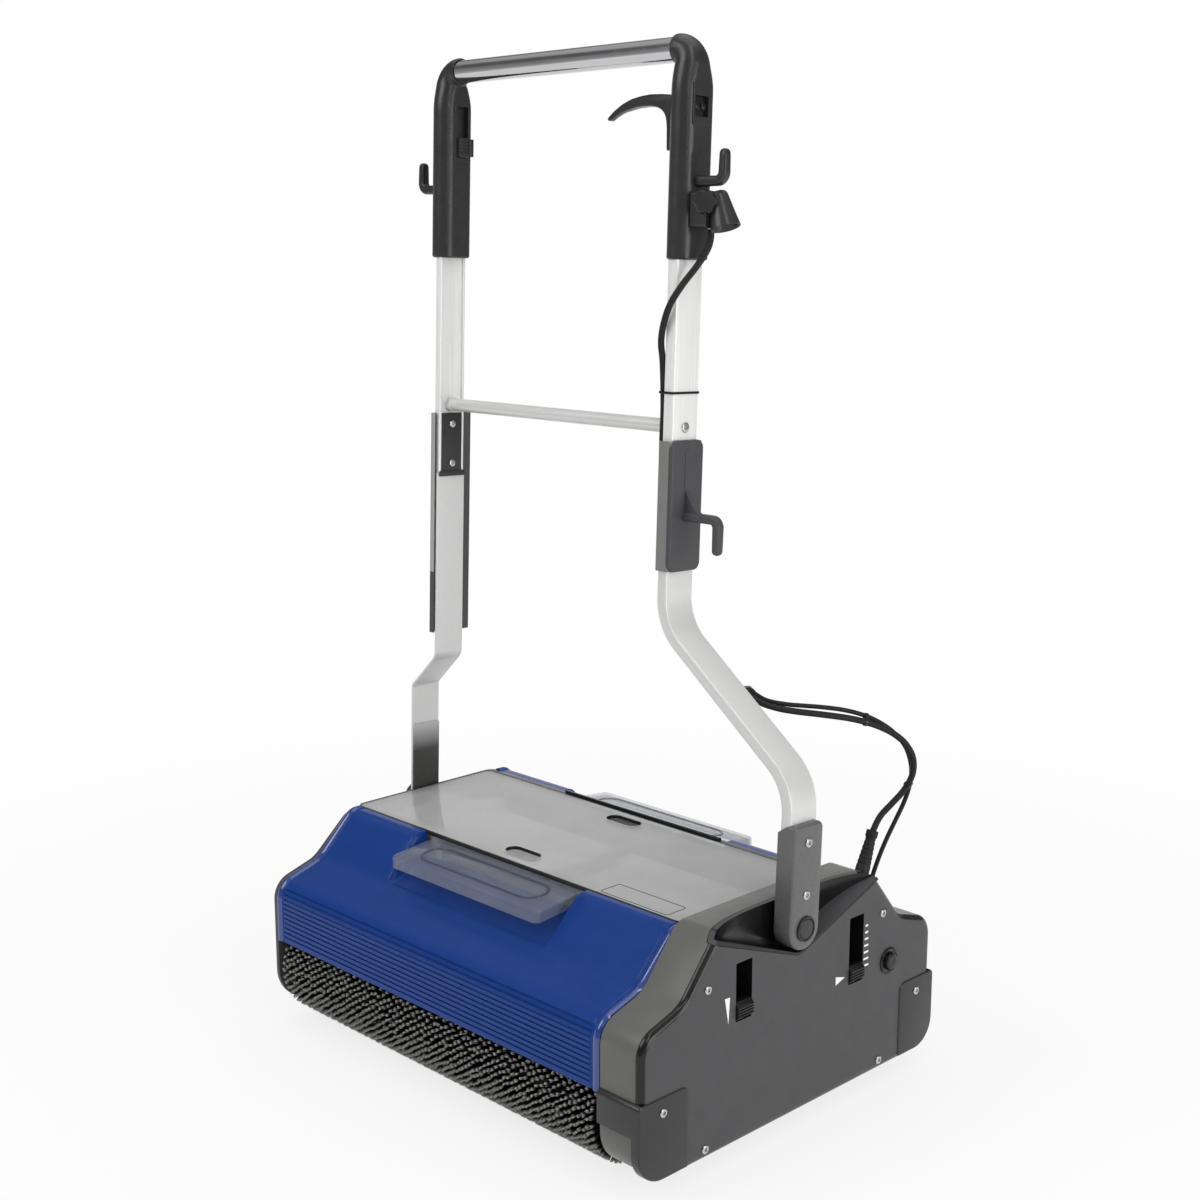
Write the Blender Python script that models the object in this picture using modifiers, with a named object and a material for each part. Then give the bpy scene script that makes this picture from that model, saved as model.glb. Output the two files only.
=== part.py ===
"""Twin-roller floor scrubber with a tilting handle: two contra-rotating brushes in a low body,
water tanks under a clear lid, a drive housing on the right and four transport wheels.
X runs along the brushes, -Y is the front, Z is up and the floor is at Z = 0."""
import math

import bmesh
import bpy
from mathutils import Matrix, Vector

# Driving dimensions in metres

GAP = 0.0003                # clearance between pieces that touch
STEPS = 5                   # segments of a rounded corner

# Widths along X
HALF_SPAN = 0.3175          # origin to the outer face of either pivot bracket
BRACKET_T = 0.023
PLATE_T = 0.006             # left side plate
PLATE_RUN = 0.0005          # running gap from the left plate to its bracket
BRACKET_PROUD = 0.006       # right bracket beyond the side cover
COVER_T = 0.008             # right side cover
FRAME_T = 0.0485            # right drive housing
WEB_T = 0.004               # its inner wall
WALL = 0.009                # its rim

# Side outline of the body, half of it, as distance from the middle and height
HALF_DEPTH = 0.232
SIDE_BOTTOM = 0.019
FOOT_R = 0.045
SHOULDER_Z = 0.172
SHOULDER_R = 0.028
WAIST_OUT = 0.050           # waist beyond the brow
WAIST_Z = 0.190
WAIST_R = 0.040
BROW_OUT = 0.014            # brow beyond the lid's edge
BROW_R = 0.022
HOUSING_TOP = 0.250
CAVITY_DROP = 0.011         # belt space below the housing's outline at its shoulders

# Lid, tanks and covers
LID_Z = 0.240
LID_T = 0.004
LID_PROUD = 0.006           # lid beyond the tanks
LID_R = 0.012
LID_OVERHANG = 0.0055       # past the inner face of the left plate
LID_INSET = 0.0065          # short of the drive housing
LID_LIFT_SEAT = 0.0005
HOLE_LENGTH = 0.050         # oval finger holes
HOLE_WIDTH = 0.020
HOLE_Y = 0.080
SKIN = 0.004                # blue covers
COVER_BOTTOM = 0.103
GROOVES = 10
GROOVE_PITCH = 0.0056
GROOVE_WIDTH = 0.0022
GROOVE_DEPTH = 0.0014
GROOVE_END = 0.014          # plain border at both ends of the grooves
TAB_LENGTH = 0.248          # clear tank grips
TAB_REACH = 0.062
TAB_DROP = 0.007
TAB_LIP = 0.013
TAB_T = 0.003
TAB_LEG = 0.034
TAB_NOTCH = 0.032           # how far the cover is cut back under the grip
TRAY_Z = 0.114
TRAY_T = 0.004
TRAY_IN = 0.070             # tray's edge inside the brush's axis
TRAY_FLANGE = 0.014
TANK_WALL = 0.003
TANK_PROUD = 0.004          # tanks beyond the tray
TANK_SPLIT = 0.040          # X of the wall between the two tanks

# Brushes, pick-up rollers and drive
BRUSH_R = 0.064
BRUSH_IN = 0.062            # brush's axis inside the body's front
BRUSH_LIFT = 0.004          # bristle tips above the floor while parked
CORE_R = 0.042
BRUSH_END = 0.005           # brush to the side wall
TUFT_ROWS = 20
TUFT_COLUMNS = 20
TUFT_TAPER = 0.62
SHAFT_R = 0.008
BEARING_R = 0.014
BEARING_FLANGE_R = 0.020
BEARING_FLANGE_T = 0.004
BEARING_DEPTH = 0.0085
PICKUP_R = 0.018
PICKUP_CLEAR = 0.001
PICKUP_RISE = 0.010
PICKUP_STUB_R = 0.005
DRIVE_Z = 0.080
GEAR_R = 0.022              # pitch radius, half the distance of the two drive shafts
GEAR_TEETH = 16
GEAR_TIP = 0.0014
GEAR_ROOT = 0.0021
GEAR_T = 0.012
DRIVE_SHAFT_R = 0.006
DRIVE_PULLEY_R = 0.016
BRUSH_PULLEY_R = 0.030
PULLEY_T = 0.012
PULLEY_OFF = 0.004          # pulleys from the housing's web
GEAR_OFF = 0.004            # gears from the pulleys
BELT_T = 0.004
BELT_SIDE = 0.001           # belt narrower than its pulley on each side
MOTOR_R = 0.033
MOTOR_LENGTH = 0.155
SHAFT_SEAT = 0.012          # drive shaft inside the motor
COLLAR_R = 0.010
COLLAR_T = 0.005

# Wheels and their carriage
WHEEL_R = 0.022
WHEEL_T = 0.020
WHEEL_IN = 0.095            # wheel's middle inside the brush's axis
WHEEL_INSET = 0.0329        # wheel's middle from the drive housing
WHEEL_SIDES = 24
AXLE_R = 0.005
AXLE_HEAD_R = 0.008
AXLE_HEAD_T = 0.003
BEAM_T = 0.012
BEAM_H = 0.012
BEAM_END = 0.011            # beam beyond the wheel's axis
SPINE_Y = 0.029
SPINE_T = 0.014
SPINE_Z = 0.025
SPINE_H = 0.010

# Controls on the right side cover
SLOT_WIDTH = 0.024
MOP_SLOT_Y = -0.0865
MOP_SLOT_LOW = 0.151
MOP_SLOT_HIGH = 0.213
LIFT_SLOT_Y = 0.095
LIFT_SLOT_LOW = 0.135
LIFT_SLOT_HIGH = 0.210
LEVER_H = 0.020
LEVER_PROUD = 0.004
BUTTON_Y = 0.153
BUTTON_Z = 0.143
BUTTON_R = 0.009
BUTTON_PROUD = 0.006
COVER_EDGE_R = 0.006

# Pocket in the right housing where the bracket swings
POCKET_HALF = 0.145
POCKET_TOP = 0.247
POCKET_FLOOR = 0.193
POCKET_FLOOR_R = 0.020
POCKET_DEPTH = 0.030
LINER_T = 0.0025

# Corner guards on the right side
GUARD_PROUD = 0.005
GUARD_FACE = 0.0025
GUARD_TOP = 0.109
GUARD_W = 0.054

# Handle, upright; the whole handle then leans back about the pivot
PIVOT_Z = 0.224
LEAN = math.radians(2.0)
PIN_R = 0.009
PIN_CAP_R = 0.0135
PIN_CAP_T = 0.0025
PIN_SEAT = 0.020            # pin inside the housing
BRACKET_W = 0.046
BRACKET_TOP = 0.335
ARM_T = 0.013
ARM_W = 0.042
ARM_IN = 0.0145             # arm's middle from the bracket's outer face
ARM_FOOT = 0.262
BEND_LOW = 0.374
RIGHT_BEND_HIGH = 0.511
RIGHT_BEND_R = 0.060
LEFT_BEND_HIGH = 0.417
LEFT_BEND_R = 0.012
RIGHT_LEG = 0.121           # X of the right upright
LEFT_LEG = -0.259
JOINT_Z = 0.640             # top of the arms
UPRIGHT_T = 0.014
UPRIGHT_W = 0.038
CHANNEL_W = 0.024           # groove on the uprights' inner faces
CHANNEL_D = 0.003
CROSSBAR_R = 0.0075
CROSSBAR_Z = 0.721
GRIP_TOP = 1.1195
GRIP_LENGTH = 0.2235
GRIP_W = 0.030
GRIP_D = 0.044
GRIP_ELBOW_R = 0.026
GRIP_INNER_R = 0.008
GRIP_BEVEL = 0.006
GRIP_SOCKET = 0.030
BAR_R = 0.013
BAR_DROP = 0.0155           # bar's axis below the grips' top
BAR_SOCKET = 0.016

# Pieces on the handle
TRIGGER_W = 0.0194
TRIGGER_DOWN = 0.0615       # trigger's top below the grip's
TRIGGER_H = 0.055
TRIGGER_LENGTH = 0.090
TRIGGER_T = 0.011
TRIGGER_DROOP = 0.019
TRIGGER_SEAT = 0.0065       # trigger inside the grip
TRIGGER_PROUD = 0.0055
TRIGGER_POCKET = 0.010
TRIGGER_HEAD = 0.008        # room above it
TRIGGER_RUN = 0.001         # and below its foot
PIVOT_IN = 0.0005           # trigger's axis inside the grip's face
PIVOT_DOWN = 0.006          # and below the trigger's top
CATCH_DOWN = 0.054          # slot's top below the grip's
CATCH_SLOT = 0.0575
CATCH_BACK = 0.0045         # slot's middle behind the grip's
CATCH_W = 0.016
CATCH_H = 0.022
CATCH_D = 0.006
CATCH_PROUD = 0.005
ROCKER_DOWN = 0.0735        # rocker's middle below the grip's top
ROCKER_H = 0.020
ROCKER_W = 0.019
ROCKER_T = 0.005
ROCKER_SWING = 0.0006       # room at its sides to rock
ROCKER_POCKET = 0.007
HOOK_UP = 0.0705            # hook above the grip's lower end
HOOK_T = 0.011
HOOK_W = 0.012
HOOK_REACH = 0.040
HOOK_RISE = 0.037
INLET_UP = 0.066            # inlet's top above the grip's lower end
INLET_H = 0.037
INLET_T = 0.022
INLET_FRONT = -0.013
INLET_BACK = 0.021
HOOD_R = 0.015
HOOD_TOP_R = 0.008
HOOD_H = 0.034
HOOD_OUT = 0.035            # hood's middle from the grip's face
SOCKET_R = 0.011
SOCKET_DEPTH = 0.020
SLEEVE_LOW = 0.570
SLEEVE_HIGH = 0.707
SLEEVE_T = 0.003
SLEEVE_HOOK_Z = 0.628
SLEEVE_HOOK_REACH = 0.056
SLEEVE_HOOK_DROP = 0.0365
SLEEVE_HOOK_T = 0.010
SLEEVE_HOOK_W = 0.012
STRIP_LOW = 0.445
STRIP_HIGH = 0.711
STRIP_T = 0.003
STRIP_REAR = 0.012
STRIP_FLANGE = 0.011
CLAMP_T = 0.0035

# Leads
CABLE_R = 0.0035
THIN_R = 0.0025
TIE_X = 0.200               # where the leads leave the right arm
TIE_Z = 0.446
BOOT_IN = 0.0132            # strain relief inside the housing's outer face
BOOT_OUT = 0.006            # and behind the brow
BOOT_DOWN = 0.004           # foot of its axis below the housing's top
BOOT_R = 0.008
BOOT_TIP_R = 0.0048
BOOT_LENGTH = 0.042
BOOT_SEAT = 0.010
BOOT_TILT = math.radians(22)
THIN_BEHIND = 0.0145        # thin lead's hole behind the strain relief
# How far each lead bows out from the straight line between its ends, tie to housing, at even steps
LEAD_BOW = (
    (0.0106, -0.0016, 0.0010), (0.0199, 0.0027, 0.0054), (0.0273, 0.0099, 0.0118), (0.0334, 0.0183, 0.0188),
    (0.0385, 0.0273, 0.0255), (0.0429, 0.0367, 0.0316), (0.0466, 0.0461, 0.0363), (0.0495, 0.0553, 0.0392),
    (0.0514, 0.0637, 0.0398), (0.0518, 0.0704, 0.0372), (0.0497, 0.0729, 0.0306), (0.0434, 0.0675, 0.0215),
    (0.0327, 0.0537, 0.0142), (0.0203, 0.0356, 0.0101), (0.0083, 0.0165, 0.0064))
THIN_BOW = (
    (0.0115, -0.0002, 0.0048), (0.0235, 0.0066, 0.0137), (0.0321, 0.0156, 0.0242), (0.0387, 0.0260, 0.0343),
    (0.0446, 0.0385, 0.0429), (0.0485, 0.0500, 0.0498), (0.0513, 0.0610, 0.0545), (0.0536, 0.0723, 0.0558),
    (0.0542, 0.0807, 0.0551), (0.0533, 0.0860, 0.0515), (0.0503, 0.0866, 0.0436), (0.0446, 0.0802, 0.0363),
    (0.0369, 0.0691, 0.0300), (0.0280, 0.0550, 0.0233), (0.0195, 0.0411, 0.0182), (0.0119, 0.0272, 0.0128),
    (0.0053, 0.0131, 0.0059))

# Places that follow from the sizes above

BRUSH_Y = HALF_DEPTH - BRUSH_IN
TRAY_HALF = BRUSH_Y - TRAY_IN
TANK_HALF = TRAY_HALF + TANK_PROUD
LID_HALF = TANK_HALF + LID_PROUD
BROW_Y = LID_HALF + BROW_OUT
WAIST_Y = BROW_Y + WAIST_OUT
WHEEL_Y = BRUSH_Y - WHEEL_IN
BEAM_HALF = WHEEL_Y + BEAM_END
GUARD_INNER = HALF_DEPTH - GUARD_W
PLATE_OUT = -(HALF_SPAN - BRACKET_T - PLATE_RUN)
PLATE_IN = PLATE_OUT + PLATE_T
COVER_OUT = HALF_SPAN - BRACKET_PROUD
COVER_IN = COVER_OUT - COVER_T
FRAME_OUT = COVER_IN - GAP
FRAME_IN = FRAME_OUT - FRAME_T
LEFT_END = PLATE_IN + GAP
RIGHT_END = FRAME_IN - GAP
WHEEL_X = RIGHT_END - WHEEL_INSET
BOOT_X = FRAME_OUT - BOOT_IN
BOOT_Y = BROW_Y + BOOT_OUT
BOOT_Z = HOUSING_TOP - BOOT_DOWN
LID_LEFT = PLATE_IN - LID_OVERHANG
LID_RIGHT = FRAME_IN - LID_INSET
LID_MIDDLE = (LID_LEFT + LID_RIGHT) / 2
LID_UNDER = LID_Z - LID_T
TANK_TOP = LID_UNDER - GAP
BRUSH_Z = BRUSH_R + BRUSH_LIFT
PICKUP_Y = BRUSH_Y - BRUSH_R - PICKUP_R - PICKUP_CLEAR
PICKUP_Z = BRUSH_Z + PICKUP_RISE
PULLEY_X = FRAME_IN + WEB_T + PULLEY_OFF
GEAR_X = PULLEY_X + PULLEY_T + GEAR_OFF
ARM_X = HALF_SPAN - ARM_IN
GRIP_BOTTOM = GRIP_TOP - GRIP_LENGTH
BAR_Z = GRIP_TOP - BAR_DROP
TRIGGER_HIGH = GRIP_TOP - TRIGGER_DOWN
TRIGGER_LOW = TRIGGER_HIGH - TRIGGER_H
CATCH_HIGH = GRIP_TOP - CATCH_DOWN
CATCH_LOW = CATCH_HIGH - CATCH_SLOT
ROCKER_Z = GRIP_TOP - ROCKER_DOWN
HOOK_Z = GRIP_BOTTOM + HOOK_UP
INLET_TOP = GRIP_BOTTOM + INLET_UP
GRIP_IN_RIGHT = RIGHT_LEG - GRIP_W / 2
GRIP_OUT_RIGHT = RIGHT_LEG + GRIP_W / 2
GRIP_IN_LEFT = LEFT_LEG + GRIP_W / 2
GRIP_OUT_LEFT = LEFT_LEG - GRIP_W / 2
TRIGGER_X = GRIP_IN_RIGHT + PIVOT_IN
TRIGGER_Z = TRIGGER_HIGH - PIVOT_DOWN
LEAD_Y = ARM_W / 2 + CABLE_R + GAP
TIE_Y = LEAD_Y + 0.005

# Colours with roughness and metallic value

BLUE = ((0.021, 0.061, 0.283), 0.35, 0.0)
DARK_GREY = ((0.095, 0.095, 0.097), 0.50, 0.0)
RIM_GREY = ((0.170, 0.170, 0.165), 0.45, 0.0)
BLACK = ((0.022, 0.022, 0.023), 0.50, 0.0)
RUBBER = ((0.015, 0.015, 0.015), 0.75, 0.0)
BRISTLE = ((0.120, 0.120, 0.120), 0.80, 0.0)
CLEAR = ((0.420, 0.420, 0.420), 0.15, 0.0)
TANK = ((0.380, 0.380, 0.375), 0.35, 0.0)
ALUMINIUM = ((0.720, 0.720, 0.720), 0.35, 0.9)
CHROME = ((0.620, 0.620, 0.630), 0.12, 1.0)
STEEL = ((0.450, 0.450, 0.460), 0.35, 1.0)

# Scene and collections

for leftover in list(bpy.data.objects):
    bpy.data.objects.remove(leftover, do_unlink=True)
PARTS = bpy.data.collections.new("floor_scrubber")
CUTTERS = bpy.data.collections.new("cutters")
bpy.context.scene.collection.children.link(PARTS)
bpy.context.scene.collection.children.link(CUTTERS)

# An outline's two directions and the direction it is extruded in, for each axis
AXES = {
    "X": Matrix(((0, 0, 1), (1, 0, 0), (0, 1, 0))).to_4x4(),
    "Y": Matrix(((1, 0, 0), (0, 0, -1), (0, 1, 0))).to_4x4(),
    "Z": Matrix.Identity(4),
}


# Modelling helpers

def add_object(data):
    """A working object, kept with the cutters until it is finished."""
    thing = bpy.data.objects.new("work", data)
    thing.hide_render = True
    thing.display_type = "WIRE"
    CUTTERS.objects.link(thing)
    return thing


def drop(thing):
    bpy.data.objects.remove(thing, do_unlink=True)


def bake(thing):
    """Replace an object by its evaluated mesh, closed and facing out, in world space."""
    bpy.context.view_layer.update()
    depsgraph = bpy.context.evaluated_depsgraph_get()
    mesh = bpy.data.meshes.new_from_object(thing.evaluated_get(depsgraph))
    mesh.transform(thing.matrix_world)
    drop(thing)
    shape = bmesh.new()
    shape.from_mesh(mesh)
    bmesh.ops.remove_doubles(shape, verts=shape.verts, dist=0.000002)
    bmesh.ops.recalc_face_normals(shape, faces=shape.faces)
    shape.to_mesh(mesh)
    shape.free()
    return add_object(mesh)


def boolean(thing, tool, operation):
    """Cut, join or intersect with a tool object, which is used up."""
    modifier = thing.modifiers.new("boolean", "BOOLEAN")
    modifier.operation = operation
    modifier.object = tool
    result = bake(thing)
    drop(tool)
    return result


def cut(thing, *tools):
    for tool in tools:
        thing = boolean(thing, tool, "DIFFERENCE")
    return thing


def join(thing, *others):
    for other in others:
        thing = boolean(thing, other, "UNION")
    return thing


def trim(thing, tool):
    return boolean(thing, tool, "INTERSECT")


def corner_arc(before, here, after, radius, steps):
    """Points that round one corner; the arc takes at most half of either side."""
    if radius == 0:
        return [tuple(here)]
    back = before - here
    ahead = after - here
    half = back.angle(ahead) / 2
    reach = min(radius / math.tan(half), 0.49 * back.length, 0.49 * ahead.length)
    start = here + back.normalized() * reach
    end = here + ahead.normalized() * reach
    inner = (back.normalized() + ahead.normalized()).normalized()
    centre = here + inner * (reach / math.cos(half))
    spoke = start - centre
    sweep = spoke.angle_signed(end - centre)
    points = []
    for step in range(steps + 1):
        points.append(tuple(centre + Matrix.Rotation(-sweep * step / steps, 2) @ spoke))
    return points


def rounded(corners, steps=STEPS, closed=True):
    """An outline through corners given as (a, b, radius)."""
    points = []
    count = len(corners)
    for index, (a, b, radius) in enumerate(corners):
        if not closed and index in (0, count - 1):
            points.append((a, b))
            continue
        before = Vector(corners[index - 1][:2])
        after = Vector(corners[(index + 1) % count][:2])
        points += corner_arc(before, Vector((a, b)), after, radius, steps)
    return points


def ribbon(corners, width):
    """The outline of a strip of even width along a rounded path."""
    path = [Vector(point) for point in rounded(corners, closed=False)]
    sides = ([], [])
    for index, point in enumerate(path):
        back = (point - path[index - 1]).normalized() if index else None
        ahead = (path[index + 1] - point).normalized() if index + 1 < len(path) else None
        along = (back or ahead) + (ahead or back)
        along.normalize()
        reach = width / 2 / along.dot(ahead or back)
        normal = Vector((-along.y, along.x)) * reach
        sides[0].append(tuple(point + normal))
        sides[1].append(tuple(point - normal))
    return sides[0] + sides[1][::-1]


def prism(loops, axis, low, high):
    """A flat outline, with holes if it has more loops, extruded along an axis."""
    curve = bpy.data.curves.new("outline", "CURVE")
    curve.dimensions = "2D"
    curve.fill_mode = "BOTH"
    curve.extrude = (high - low) / 2
    for loop in loops:
        spline = curve.splines.new("POLY")
        spline.points.add(len(loop) - 1)
        for point, (a, b) in zip(spline.points, loop):
            point.co = (a, b, 0, 1)
        spline.use_cyclic_u = True
    thing = add_object(curve)
    sign = -1 if axis == "Y" else 1
    thing.matrix_world = AXES[axis] @ Matrix.Translation((0, 0, sign * (low + high) / 2))
    return bake(thing)


def box(low, high):
    low = Vector(low)
    high = Vector(high)
    mesh = bpy.data.meshes.new("box")
    shape = bmesh.new()
    size = Matrix.Diagonal((*(high - low), 1))
    bmesh.ops.create_cube(shape, size=1, matrix=Matrix.Translation((low + high) / 2) @ size)
    shape.to_mesh(mesh)
    shape.free()
    return add_object(mesh)


def cone(start, end, start_r, end_r, sides=16, turn=0.0):
    """A round bar or cone from one point to another."""
    start = Vector(start)
    end = Vector(end)
    along = end - start
    place = Matrix.Translation((start + end) / 2) @ along.to_track_quat("Z", "Y").to_matrix().to_4x4()
    mesh = bpy.data.meshes.new("cone")
    shape = bmesh.new()
    bmesh.ops.create_cone(
        shape, cap_ends=True, segments=sides, radius1=start_r, radius2=end_r,
        depth=along.length, matrix=place @ Matrix.Rotation(turn, 4, "Z"))
    shape.to_mesh(mesh)
    shape.free()
    return add_object(mesh)


def bar_x(low, high, radius, y, z, sides=16, turn=0.0):
    return cone((low, y, z), (high, y, z), radius, radius, sides, turn)


def turned(profile, y, z, steps=16):
    """A shape turned about a line along X; the profile holds (radius, x) down its outer side."""
    mesh = bpy.data.meshes.new("profile")
    shape = bmesh.new()
    points = [shape.verts.new((radius, 0, x)) for radius, x in profile]
    for first, second in zip(points, points[1:]):
        shape.edges.new((first, second))
    shape.to_mesh(mesh)
    shape.free()
    thing = add_object(mesh)
    screw = thing.modifiers.new("turn", "SCREW")
    screw.steps = steps
    screw.render_steps = steps
    screw.use_merge_vertices = True
    screw.merge_threshold = 0.00001
    thing.matrix_world = Matrix.Translation((0, y, z)) @ AXES["X"]
    return bake(thing)


def smooth_route(points, spacing):
    """Evenly spaced points on a smooth curve through a route's own points."""
    knots = [Vector(point) for point in points]
    knots = [2 * knots[0] - knots[1]] + knots + [2 * knots[-1] - knots[-2]]
    fine = []
    for a, b, c, d in zip(knots, knots[1:], knots[2:], knots[3:]):
        for step in range(40):
            t = step / 40
            fine.append(0.5 * (2 * b + (c - a) * t + (2 * a - 5 * b + 4 * c - d) * t ** 2
                               + (3 * b - a - 3 * c + d) * t ** 3))
    fine.append(knots[-2])
    lengths = [0.0]
    for a, b in zip(fine, fine[1:]):
        lengths.append(lengths[-1] + (b - a).length)
    count = max(2, round(lengths[-1] / spacing))
    route = []
    index = 0
    for step in range(count + 1):
        target = lengths[-1] * step / count
        while index < len(fine) - 2 and lengths[index + 1] < target:
            index += 1
        share = (target - lengths[index]) / (lengths[index + 1] - lengths[index])
        route.append(fine[index].lerp(fine[index + 1], share))
    return route


def tube(points, radius, resolution=2):
    """A round lead along a smooth route."""
    route = smooth_route(points, radius * 5)
    curve = bpy.data.curves.new("lead", "CURVE")
    curve.dimensions = "3D"
    curve.bevel_depth = radius
    curve.bevel_resolution = resolution
    curve.use_fill_caps = True
    spline = curve.splines.new("POLY")
    spline.points.add(len(route) - 1)
    for point, place in zip(spline.points, route):
        point.co = (*place, 1)
    return bake(add_object(curve))


def round_edges(thing, axis, value, radius, segments=3):
    """Round the outline's edges that lie on one flat face."""
    shape = bmesh.new()
    shape.from_mesh(thing.data)
    on_face = [edge for edge in shape.edges
               if all(abs(vert.co[axis] - value) < 0.00001 for vert in edge.verts)
               and len(edge.link_faces) == 2 and edge.calc_face_angle() > 0.5]
    bmesh.ops.bevel(shape, geom=on_face, offset=radius, segments=segments, profile=0.5, affect="EDGES")
    shape.to_mesh(thing.data)
    shape.free()
    return thing


def finish(name, thing, look, parent=None):
    """Name a piece, give it its material and put it with the parts."""
    colour, roughness, metallic = look
    material = bpy.data.materials.new(name)
    material.use_nodes = True
    shader = material.node_tree.nodes["Principled BSDF"]
    shader.inputs["Base Color"].default_value = (*colour, 1)
    shader.inputs["Roughness"].default_value = roughness
    shader.inputs["Metallic"].default_value = metallic
    thing.name = name
    thing.data.name = name
    thing.data.materials.clear()
    thing.data.materials.append(material)
    thing.data.shade_smooth()
    thing.data.set_sharp_from_angle(angle=math.radians(35))
    thing.hide_render = False
    thing.display_type = "TEXTURED"
    CUTTERS.objects.unlink(thing)
    PARTS.objects.link(thing)
    if parent:
        thing.parent = parent
        thing.matrix_parent_inverse = Matrix.Translation(parent["rest"]).inverted()
    return thing


def joint_empty(name, place, parent=None):
    """An empty on a joint's axis, which carries the pieces that move there."""
    empty = bpy.data.objects.new(name, None)
    empty.empty_display_size = 0.02
    empty["rest"] = place
    PARTS.objects.link(empty)
    if parent:
        empty.parent = parent
        empty.location = Vector(place) - Vector(parent["rest"])
    else:
        empty.location = place
    return empty


# Outlines shared by several pieces

def mirrored(half):
    """A closed outline from corners on the +Y side, listed from bottom to top."""
    return half + [(-y, z, radius) for y, z, radius in reversed(half)]


def hat(grow=0.0):
    """The body's side outline."""
    return rounded(mirrored([
        (HALF_DEPTH + grow, SIDE_BOTTOM - grow, FOOT_R + grow),
        (HALF_DEPTH + grow, SHOULDER_Z + grow, SHOULDER_R + grow),
        (WAIST_Y + grow, WAIST_Z + grow, WAIST_R - grow),
        (BROW_Y + grow, HOUSING_TOP + grow, BROW_R + grow),
    ]))


def pocket(grow=0.0):
    """The hollow over the right pivot: a shallow V from the side, a crescent from above."""
    half = POCKET_HALF + 3 * grow
    floor = POCKET_FLOOR - grow
    above = HOUSING_TOP + 0.04
    vee = rounded([
        (-half, above, 0), (-half, POCKET_TOP - grow, 0), (0, floor, POCKET_FLOOR_R),
        (half, POCKET_TOP - grow, 0), (half, above, 0)])
    solid = prism([vee], "X", FRAME_IN - 0.01, COVER_OUT + 0.02)
    crescent = [(COVER_OUT + 0.01, half), (COVER_OUT + 0.01, -half)]
    for step in range(25):
        share = step / 12 - 1
        crescent.append((COVER_OUT - (POCKET_DEPTH + grow) * (1 - share ** 4) - grow, half * share))
    return trim(solid, prism([crescent], "Z", POCKET_FLOOR - 0.03, above + 0.01))


def belt_loop(first, first_r, second, second_r):
    """The loop of a belt round two pulleys."""
    first = Vector(first)
    second = Vector(second)
    along = second - first
    base = math.atan2(along.y, along.x)
    spread = math.acos((first_r - second_r) / along.length)
    points = []
    for centre, radius, start, sweep in (
            (first, first_r, base + spread, 2 * math.pi - 2 * spread),
            (second, second_r, base - spread, 2 * spread)):
        for step in range(21):
            angle = start + sweep * step / 20
            points.append((centre.x + radius * math.cos(angle), centre.y + radius * math.sin(angle)))
    return points


def gear_outline(y, z, turn):
    pitch = 2 * math.pi / GEAR_TEETH
    points = []
    for tooth in range(GEAR_TEETH):
        for radius, share in ((GEAR_R - GEAR_ROOT, -0.30), (GEAR_R + GEAR_TIP, -0.12),
                              (GEAR_R + GEAR_TIP, 0.12), (GEAR_R - GEAR_ROOT, 0.30)):
            angle = turn + pitch * (tooth + share)
            points.append((y + radius * math.cos(angle), z + radius * math.sin(angle)))
    return points


# Body shell

def side_plate():
    corners = mirrored([
        (HALF_DEPTH, SIDE_BOTTOM, FOOT_R),
        (HALF_DEPTH, SHOULDER_Z, SHOULDER_R),
        (WAIST_Y, WAIST_Z, WAIST_R),
        (BROW_Y, TANK_TOP, BROW_R),
    ])
    plate = prism([rounded(corners)], "X", PLATE_OUT, PLATE_IN)
    holes = [bar_x(PLATE_OUT - 0.01, PLATE_IN + 0.01, PIN_R + GAP, 0, PIVOT_Z)]
    for side in (-1, 1):
        holes.append(bar_x(PLATE_OUT - 0.01, PLATE_IN + 0.01, BEARING_R + GAP, side * BRUSH_Y, BRUSH_Z))
        holes.append(bar_x(PLATE_OUT - 0.01, PLATE_IN + 0.01, PICKUP_STUB_R + GAP, side * PICKUP_Y, PICKUP_Z))
    return cut(plate, *holes)


def boot_point(distance):
    """A point on the strain relief's axis."""
    return Vector((BOOT_X, BOOT_Y + distance * math.sin(BOOT_TILT), BOOT_Z + distance * math.cos(BOOT_TILT)))


def thin_lead_hole():
    """Where the thin lead enters the slope between the brow and the waist."""
    slope = (HOUSING_TOP - WAIST_Z) / WAIST_OUT
    return Vector((BOOT_X, BOOT_Y + THIN_BEHIND, HOUSING_TOP - (BOOT_OUT + THIN_BEHIND) * slope))


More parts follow.
